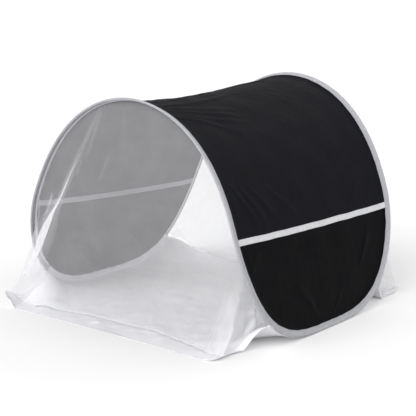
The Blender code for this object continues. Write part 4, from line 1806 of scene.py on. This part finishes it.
@dataclass(frozen=True)
class Tuck:
    """The net's long fold: slack cloth drawn into three layers along a straight pull.

    widths, folds and bunches give the fold's width, how far it folds over and how its
    threads bunch, at the shares of its length in stops. The fold moves cloth as far as
    reach widths away, its threads bunch within core widths, and the whole line stands proud
    over shoulder on both sides.
    """

    pull: Pull
    stops: tuple[float, ...]
    widths: tuple[float, ...]
    folds: tuple[float, ...]
    bunches: tuple[float, ...]
    reach: float = 0.62
    core: float = 0.45
    depth: float = 0.13
    shoulder: float = 50.0 * MM

    def lay(self, grid: Array, hold: Array, end: End) -> Array:
        """Fold the net in place, and return how much denser its threads are.

        With t the distance from the pull and k = 2 pi / width, the cloth moves sideways by
        -fold * width * sin(kt) and out by depth * width * sin(kt / 2), under a bell in t.

        Args:
            grid: the net's points, shape (rows, columns, 3), changed here.
            hold: how free the net is at each point, 0 at its sewn edges.
            end: the tent's end that the net closes.

        Returns:
            The added density of threads at each point.
        """
        away, share = self.pull.place(grid[..., 0], grid[..., 2])
        width, fold, bunch = (np.interp(share, self.stops, values)
                              for values in (self.widths, self.folds, self.bunches))
        k = 2.0 * np.pi / width
        window = bell(away / (self.reach * width)) * hold
        line = unit(np.array(self.pull.foot) - np.array(self.pull.top))
        sideways = -fold * width * np.sin(k * away) * window
        grid[..., 0] += sideways * line[1]
        grid[..., 2] -= sideways * line[0]
        out = self.depth * width * np.sin(k * away / 2.0) * window * np.minimum(2.0 * fold, 1.0)
        grid[..., 1] += end * (out + self.pull.proud * bell(away / self.shoulder) * hold)
        return bunch * bell(away / (self.core * width))


@dataclass
class EndNet:
    """Sheer net that closes one end, from the binding's inner leaf down to its hem."""

    form: TentForm
    base: BaseSheet
    rim: Rim
    edge_inset: float = 13.2 * MM
    edge_drop: float = 2.75 * MM
    tape_width: float = 4.6 * MM
    tape_thickness: float = 0.5 * MM
    tape_gap: float = 0.15 * MM
    tape_steps: int = 4
    hem_width: float = 10.0 * MM
    hem_thickness: float = 0.45 * MM
    hem_gap: float = 0.2 * MM
    hem_start: float = 0.3 * MM
    hem_sunk: float = 0.1 * MM
    hem_steps: int = 5
    hem_setback: float = 32.0 * MM
    hem_bow: float = 50.0 * MM
    corner_reach: float = 0.955
    climb_share: float = 0.20
    descent_share: float = 0.55
    flap_reach: float = 0.97
    flap_step: float = 33.0 * MM
    spread_power: float = 1.15
    turn_round: float = 0.10
    tie_lift: float = 9.0 * MM
    tie_rise: float = 10.0 * MM
    belly: float = 12.0 * MM
    fold_depth: float = 7.0 * MM
    fold_reach: float = 1.15
    folds: int = 7
    side_power: int = 6
    hold_power: float = 0.25
    wander: Waves = Waves(0.35, 0.70, 50, (0.5, 0.12))
    fine: Waves = Waves(0.075, 1.3 * MM, 60, (0.5, 0.10))
    loose: Waves = Waves(0.05, 1.0, 70, (0.9, 0.10))
    bunch_top: float = 0.2
    bunch_ease: float = 0.5
    bunch_sides: tuple[float, float] = (0.10, 0.02)
    bunch_change: float = 0.25
    hem_density: float = 0.9
    hem_share: float = 0.012
    columns: int = 620
    rows: int = 140
    tuck: Tuck | None = None
    pulls: tuple[Pull, ...] = ()

    def hem_line(self, shares: Array) -> Array:
        """Where the lower edge lies on the base sheet, by share -1..1 from tie to tie.

        The middle run follows the sheet's end, set back from it. At each corner the line
        climbs the flap, and the short run behind it comes down again to the tie.

        Args:
            shares: the shares.

        Returns:
            A point for each of them.
        """
        form = self.form
        end = self.rim.end
        reach, back, step = self.corner_shares(shares)
        across = self.corner_reach * np.sign(shares) * reach
        corner_y = form.half_hoop + form.base_end_margin - self.hem_setback
        corner_y = corner_y - (self.base.edge_bow + self.hem_bow) * (1.0 - across ** 2)
        tie = self.rim.station(form.tie_arc, Side.RIGHT)
        tie_y = abs(self.rim.point[tie, 1]) + step
        y = end * (corner_y + (tie_y - corner_y) * back)
        point = self.base.point_at(across, y)
        gap = self.base.thickness / 2 + self.hem_thickness / 2 + self.hem_gap
        point[:, 2] += gap + self.tie_lift * smooth_step(2.0 * back)
        longer = form.base_half(end) - form.half_hoop - form.base_end_margin
        flap_y = y + end * (self.flap_step + longer) * (1.0 - back)
        flaps = [self.base.flap_point(side, flap_y, self.flap_reach, gap) for side in Side]
        flap = np.where(shares[:, None] < 0.0, *flaps)
        descent = smooth_step((back - self.climb_share) / self.descent_share)
        climb = smooth_step(back / self.climb_share) * (1.0 - descent)
        return point + (flap - point) * climb[:, None]

    def corner_shares(self, shares: Array) -> tuple[Array, Array, Array]:
        """How far the hem has gone towards its corner, and from there back to the tie.

        With x the share divided by the corner's turn, the hem leaves the straight x by
        (x - 1 + r)^2 / 4r within r of the corner, which rounds it.

        Args:
            shares: places along the hem, -1..1 from tie to tie.

        Returns:
            The share of the way to the corner, the share of the way back, and the tie's step.
        """
        size, right = np.abs(shares), shares > 0.0
        reaches, backs = [], []
        corners = [CORNERS[self.rim.end, side] for side in Side]
        for corner in corners:
            x = size / corner.turn
            near = np.clip(x - 1.0 + self.turn_round, 0.0, 2.0 * self.turn_round)
            over = near ** 2 / (4.0 * self.turn_round) + np.maximum(x - 1.0 - self.turn_round, 0.0)
            reaches.append(x - over)
            fold = corner.fold / corner.turn - 1.0
            backs.append(np.interp(over, [0.0, fold, 1.0 / corner.turn - 1.0],
                                   [0.0, corner.back, 1.0]))
        return (np.where(right, reaches[1], reaches[0]), np.where(right, backs[1], backs[0]),
                np.where(right, corners[1].step, corners[0].step))

    def top_line(self) -> Array:
        """Upper edge on the binding's inner leaf, even along its own length.

        Returns:
            One point for each column.
        """
        rows = self.rim.between(self.form.tie_arc - self.tie_rise)
        top = self.rim.offset(self.edge_inset, -self.edge_drop, rows)
        run = running_length(top)
        return at_lengths(top, run, np.linspace(0.0, run[-1], self.columns))

    def hem_shares(self, shares: Array) -> Array:
        """Where each column meets the hem: columns crowd a little towards the middle."""
        return np.sign(shares) * np.abs(shares) ** self.spread_power

    def plain_grid(self) -> tuple[Array, Array, Array, Array]:
        """Net before its pulls: straight from edge to hem, with a belly and soft folds.

        With u across and w down the net, the folds are w * sin(pi w)^2 * sin(pi n u).

        Returns:
            The grid of points, the hem's points, u and w.
        """
        top = self.top_line()
        shares = np.linspace(-1.0, 1.0, self.columns)
        hem = self.hem_line(self.hem_shares(shares))
        down = np.linspace(0.0, 1.0, self.rows)[:, None, None]
        grid = top[None] + (hem - top)[None] * down
        u = np.broadcast_to(shares[None], grid.shape[:2])
        w = np.broadcast_to(down[..., 0], grid.shape[:2])
        end = self.rim.end
        edge = 1.0 - np.abs(u) ** self.side_power
        belly = self.belly * np.sin(np.pi * w) * (1.0 - u ** 2)
        folds = self.fold_depth * w * np.sin(np.pi * np.minimum(w * self.fold_reach, 1.0)) ** 2
        wander = self.wander.over(u, w, end)
        folds = folds * np.sin(np.pi * self.folds * u + wander)
        fine = self.fine.over(u, w, end) * np.sin(np.pi * w)
        grid[..., 1] += end * (belly + folds + fine) * edge
        return grid, hem, u, w

    def gather(self, grid: Array, u: Array, w: Array) -> Array:
        """Lay the long fold and the smaller pulls in the net, and bunch it at the ties.

        Args:
            grid: the net's points, shape (rows, columns, 3), changed here.
            u: share across the net at each point, -1..1.
            w: share of the drop at each point.

        Returns:
            The density of threads at each point, one where the net is plain.
        """
        hold = np.sin(np.pi * np.clip(w, 0.0, 1.0)) ** self.hold_power
        density = np.ones(grid.shape[:2])
        if self.tuck is not None:
            density += self.tuck.lay(grid, hold, self.rim.end)
        for side in Side:
            corner = CORNERS[self.rim.end, side]
            start, stop = corner.span
            there = smooth_step((side * u - start) / self.bunch_sides[0])
            there = there * smooth_step((stop - side * u) / self.bunch_sides[1])
            there = there * smooth_step((w - self.bunch_top) / self.bunch_ease)
            loose = self.loose.over(u, w, side)
            density += corner.gather * there * (1.0 + self.bunch_change * loose)
            grid[..., 1] += self.rim.end * corner.crumple * loose * there * hold
            grid[..., 0] += side * corner.crumple * (1.0 + loose) * there * hold
        for pull in self.pulls:
            strength = pull.strength(grid[..., 0], grid[..., 2])
            grid[..., 1] += self.rim.end * pull.proud * strength * hold
            density += pull.bunch * strength
        return density

    def build(self) -> None:
        """Net, its sewing tape on the binding and its hem on the base sheet."""
        grid, hem, u, w = self.plain_grid()
        plain = grid.copy()
        density = self.gather(grid, u, w)
        density = density + self.hem_density * bell((w - 1.0) / self.hem_share)
        run, drop = grid_run(plain, 1), grid_run(plain, 0)
        run = run - run.mean(axis=1, keepdims=True)
        uv = np.stack([run, drop], axis=-1)
        word = self.rim.end.word
        mesh = make_mesh("sheer_net_" + word, grid, self.faces(grid), uv)
        add_attribute(mesh, "bunching", density)
        piece = Piece("sheer_net_" + word, WHITE_NET, "white_sheer_net", ("net_" + word,))
        net = piece.place(mesh)
        back = self.corner_shares(self.hem_shares(u[0]))[1]
        parts = [self.edge_tape(), self.hem_tape(hem[back <= 0.0])]

    def faces(self, grid: Array) -> list[list[int]]:
        """Quads that face out of the tent.

        Args:
            grid: the net's points.

        Returns:
            The point numbers of each quad.
        """
        quads = grid_faces(*grid.shape[:2])
        normal = np.cross(grid[1, 0] - grid[0, 0], grid[0, 1] - grid[0, 0])
        outward = float(normal[1]) * self.rim.end < 0.0
        return (quads if outward else quads[:, ::-1]).tolist()

    def edge_tape(self) -> Object:
        """Narrow tape that sews the net to the binding's inner leaf.

        Returns:
            The tape.
        """
        rim = self.rim
        rows = rim.between(self.form.tie_arc - self.tie_rise)
        across = np.linspace(-0.5, 0.5, self.tape_steps) * self.tape_width
        seat = -(self.form.leaf_face + self.tape_gap + self.tape_thickness / 2)
        points = (
            rim.point[rows][:, None]
            + rim.inward[rows][:, None] * (self.edge_inset + across)[None, :, None]
            + rim.outward[rows][:, None] * seat
        )
        uv = np.stack(np.broadcast_arrays(rim.run[rows][:, None], across[None]), axis=-1)
        name = "net_edge_tape_" + rim.end.word
        normals = np.broadcast_to(-rim.outward[rows][:, None], points.shape)
        mesh = shell_mesh(name, points, uv, self.tape_thickness, normals)
        face = points[:, 1] + normals[:, 1] * self.tape_thickness / 2
        STITCHES.sew(name + "_stitches", [(face, normals[:, 1])], WHITE_THREAD, "white_tape")
        return Piece("sewn_" + name, WHITE_TAPE, "white_tape", (name,)).place(mesh)

    def hem_tape(self, hem: Array) -> Object:
        """Narrow hem along the net's lower edge, lying on the base sheet.

        Args:
            hem: the points of the edge.

        Returns:
            The hem.
        """
        along = unit(np.gradient(hem, axis=0))
        away = unit(np.cross(along, UP)) * -self.rim.end
        across = np.linspace(0.0, 1.0, self.hem_steps) * self.hem_width
        low = hem - UP * self.hem_sunk
        points = low[:, None] + away[:, None] * (across + self.hem_start)[None, :, None]
        uv = np.stack(np.broadcast_arrays(running_length(hem)[:, None], across[None]), axis=-1)
        name = "net_hem_" + self.rim.end.word
        normals = np.broadcast_to(UP, points.shape)
        mesh = shell_mesh(name, points, uv, self.hem_thickness, normals)
        top = points[:, 1] + UP * self.hem_thickness / 2
        STITCHES.sew(name + "_stitches", [(top, normals[:, 1])], WHITE_THREAD, "white_tape")
        return Piece("folded_" + name, WHITE_TAPE, "white_tape", (name,)).place(mesh)


# Tie loops

@dataclass
class TieLoop:
    """Small loop of white webbing on the hoop's bead, where a net corner is tied."""

    form: TentForm
    length: float = 26.0 * MM
    depth: float = 8.4 * MM
    band: float = 1.5 * MM
    width: float = 5.0 * MM
    gap: float = 0.3 * MM
    bulge: float = 0.12
    squareness: float = 4.0
    band_power: float = 0.6
    width_power: float = 0.4
    path_steps: int = 64
    band_steps: int = 16

    def build(self, rim: Rim, side: Side) -> None:
        """Webbing swept round a slot, its section a flat bar with rounded edges.

        Along the hoop its path is straight * clip(squareness cos t) + radius cos t, and it is
        wider by bulge towards one end, as a sewn loop is.

        Args:
            rim: the half of the hoop that it hangs on.
            side: the side.
        """
        station = rim.station(self.form.tie_arc, side)
        inward, outward, along = (v[station] for v in (rim.inward, rim.outward, rim.along))
        centre = rim.point[station] - inward * (
            self.form.bead_radius + self.gap + self.depth / 2)
        radius = self.depth / 2 - self.band / 2
        straight = self.length / 2 - self.depth / 2
        turn = np.linspace(0.0, 2.0 * np.pi, self.path_steps, endpoint=False)
        path = np.stack([
            np.clip(np.cos(turn) * self.squareness, -1.0, 1.0) * straight
            + radius * np.cos(turn),
            radius * np.sin(turn) * (1.0 + self.bulge * np.cos(turn)),
        ], axis=-1)
        tangent = unit(np.roll(path, -1, axis=0) - np.roll(path, 1, axis=0))
        away = np.stack([tangent[:, 1], -tangent[:, 0]], axis=-1)
        spin = np.linspace(0.0, 2.0 * np.pi, self.band_steps, endpoint=False)
        thick = np.sign(np.cos(spin)) * np.abs(np.cos(spin)) ** self.band_power * self.band / 2
        wide = np.sign(np.sin(spin)) * np.abs(np.sin(spin)) ** self.width_power * self.width / 2
        flat = path[:, None] + away[:, None] * thick[None, :, None]
        points = (
            centre + along * flat[..., :1] - inward * flat[..., 1:]
            + outward * wide[None, :, None]
        )
        run = running_length(path)
        uv = np.stack(np.broadcast_arrays(run[:, None], wide[None]), axis=-1)
        name = "tie_loop_%s_%s" % (rim.end.word, side.word)
        mesh = ring_mesh(name, points, uv, capped=False)
        Piece("webbing_" + name, WHITE_TAPE, "white_tape", (name,)).place(mesh)


# Studio

@dataclass(frozen=True)
class Lamp:
    """Wide soft lamp, far enough away to light the whole floor evenly.

    azimuth runs in degrees from +X towards +Y, height is in degrees above the floor, and
    spread is the angle that the lamp fills in the sky. strength is the light on a surface
    that faces it, in watts a square metre.
    """

    name: str
    azimuth: float
    height: float
    spread: float
    strength: float

    def place(self) -> None:
        """Set the lamp up, its back turned away from the tent."""
        data = bpy.data.lights.new(self.name, "SUN")
        data.energy = self.strength
        data.angle = math.radians(self.spread)
        turn, lift = math.radians(self.azimuth), math.radians(self.height)
        back = np.array([math.cos(turn) * math.cos(lift), math.sin(turn) * math.cos(lift),
                         math.sin(lift)])
        right = unit(np.cross(UP, back))
        up = np.cross(back, right)
        turned = Matrix(np.stack([right, up, back], axis=1).tolist()).to_4x4()
        add_object(self.name, data).matrix_world = turned


@dataclass
class Studio:
    """Camera at the photograph's angle, pale floor, soft lamps and a white surround."""

    place: Triple = (2.3822519145, -3.3421964124, 1.2160988084)
    right: Triple = (0.80588071, 0.59097771, 0.03607795)
    up: Triple = (-0.15866177, 0.15684832, 0.97479487)
    forward: Triple = (-0.57042328, 0.79129258, -0.22016661)
    sensor_width: float = 36.0
    focal_pixels: float = 1385.845
    frame_pixels: float = 416.0
    shift_up: float = -0.003494
    sight: float = 100.0
    world_light: float = 0.66
    floor_half: float = 30.0
    floor_shade: float = 0.80
    floor_lift: float = 0.14
    lamps: tuple[Lamp, ...] = (
        Lamp("lamp_front", -93.0, 34.0, 50.0, 1.95),
        Lamp("lamp_rear", 84.0, 35.0, 50.0, 0.35),
        Lamp("lamp_side", 8.0, 46.0, 40.0, 0.42),
    )

    def camera(self) -> None:
        """Camera with its axes given as three directions."""
        data = bpy.data.cameras.new("camera")
        data.sensor_width = self.sensor_width
        data.lens = self.focal_pixels / self.frame_pixels * data.sensor_width
        data.shift_y = self.shift_up
        data.clip_end = self.sight
        axes = np.stack([self.right, self.up, [-part for part in self.forward]], axis=1)
        turn = Matrix(axes.tolist()).to_4x4()
        obj = add_object("camera", data)
        obj.matrix_world = Matrix.Translation(self.place) @ turn
        bpy.context.scene.camera = obj

    def floor(self) -> None:
        """Large plain floor that shows white where no shadow falls."""
        half = self.floor_half
        corners = np.array([[-half, -half, 0.0], [half, -half, 0.0], [half, half, 0.0],
                            [-half, half, 0.0]])
        mesh = make_mesh("studio_floor", corners, [(0, 1, 2, 3)])
        obj = add_object("studio_floor", mesh)
        nodes = Nodes("studio_floor")
        nodes.level("Base Color", (*[self.floor_shade] * 3, 1.0))
        nodes.level("Roughness", 1.0)
        nodes.level("Specular IOR Level", 0.0)
        nodes.level("Emission Color", (1.0, 1.0, 1.0, 1.0))
        lift = nodes.maths("MULTIPLY", nodes.seen_rays(), self.floor_lift)
        nodes.feed("Emission Strength", lift)
        mesh.materials.append(nodes.made)
        obj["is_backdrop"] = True

    def world(self) -> None:
        """Even light from all round, and plain white where the surround is seen."""
        world = bpy.data.worlds.new("studio_world")
        bpy.context.scene.world = world
        world.use_nodes = True
        nodes = NodeTree(world.node_tree)
        background = nodes.tree.nodes["Background"]
        background.inputs["Color"].default_value = (1.0, 1.0, 1.0, 1.0)
        strength = nodes.maths(
            "MULTIPLY_ADD", nodes.seen_rays(), 1.0 - self.world_light, self.world_light)
        nodes.join(strength, background.inputs["Strength"])

    def build(self) -> None:
        """Camera first, then surround, floor and lamps."""
        self.camera()
        self.world()
        self.floor()
        for lamp in self.lamps:
            lamp.place()
        bpy.context.scene.view_settings.view_transform = "Standard"


FRONT_TUCK = Tuck(
    Pull((-0.108, 0.640), (-0.414, 0.030), (0.0, 0.0), 8.0 * MM, 0.0),
    stops=(0.0, 0.12, 0.33, 0.50, 0.56, 0.61, 0.68, 0.78, 0.90, 1.0),
    widths=tuple(size * MM for size in (12, 14, 15, 15, 22, 38, 48, 52, 60, 60)),
    folds=(0.0, 0.05, 0.45, 0.60, 0.60, 0.60, 0.60, 0.50, 0.20, 0.0),
    bunches=(0.0, 0.25, 0.7, 1.2, 1.2, 1.1, 1.0, 0.9, 0.5, 0.2),
)
FRONT_PULLS = (
    Pull((-0.105, 0.630), (-0.168, 0.455), (5.0 * MM, 7.0 * MM), 1.5 * MM, 0.16),
    Pull((-0.076, 0.505), (-0.118, 0.400), (5.0 * MM, 6.0 * MM), 1.0 * MM, 0.10),
    Pull((-0.176, 0.470), (-0.200, 0.410), (4.0 * MM, 5.0 * MM), 1.0 * MM, 0.16),
    Pull((-0.288, 0.355), (-0.306, 0.280), (4.0 * MM, 6.0 * MM), 1.5 * MM, 0.60),
    Pull((-0.350, 0.345), (-0.338, 0.100), (2.5 * MM, 6.0 * MM), 1.0 * MM, 0.55),
    Pull((-0.305, 0.330), (-0.330, 0.120), (2.5 * MM, 5.0 * MM), 1.0 * MM, 0.35),
)
NETS = {
    End.FRONT: {"tuck": FRONT_TUCK, "pulls": FRONT_PULLS},
    End.REAR: {"edge_inset": 11.5 * MM, "tape_width": 11.0 * MM},
}


def main() -> None:
    """Build the camera and studio, then each sub-assembly in order."""
    logging.basicConfig(level=logging.INFO, format="%(message)s")
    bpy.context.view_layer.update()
    Studio().build()
    form = TentForm()
    rims = {end: Rim(form, end) for end in End}
    Hoop().build(rims)
    for end in End:
        Binding(form).build(rims[end])
    Canopy(form).build(rims)
    base = BaseSheet(form, rims)
    base.build()
    for end in End:
        EndNet(form, base, rims[end], **NETS[end]).build()
        for side in Side:
            TieLoop(form).build(rims[end], side)
    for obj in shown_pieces():
        LOG.info("%s: %d faces", obj.name, len(obj.data.polygons))


if __name__ == "__main__":
    main()
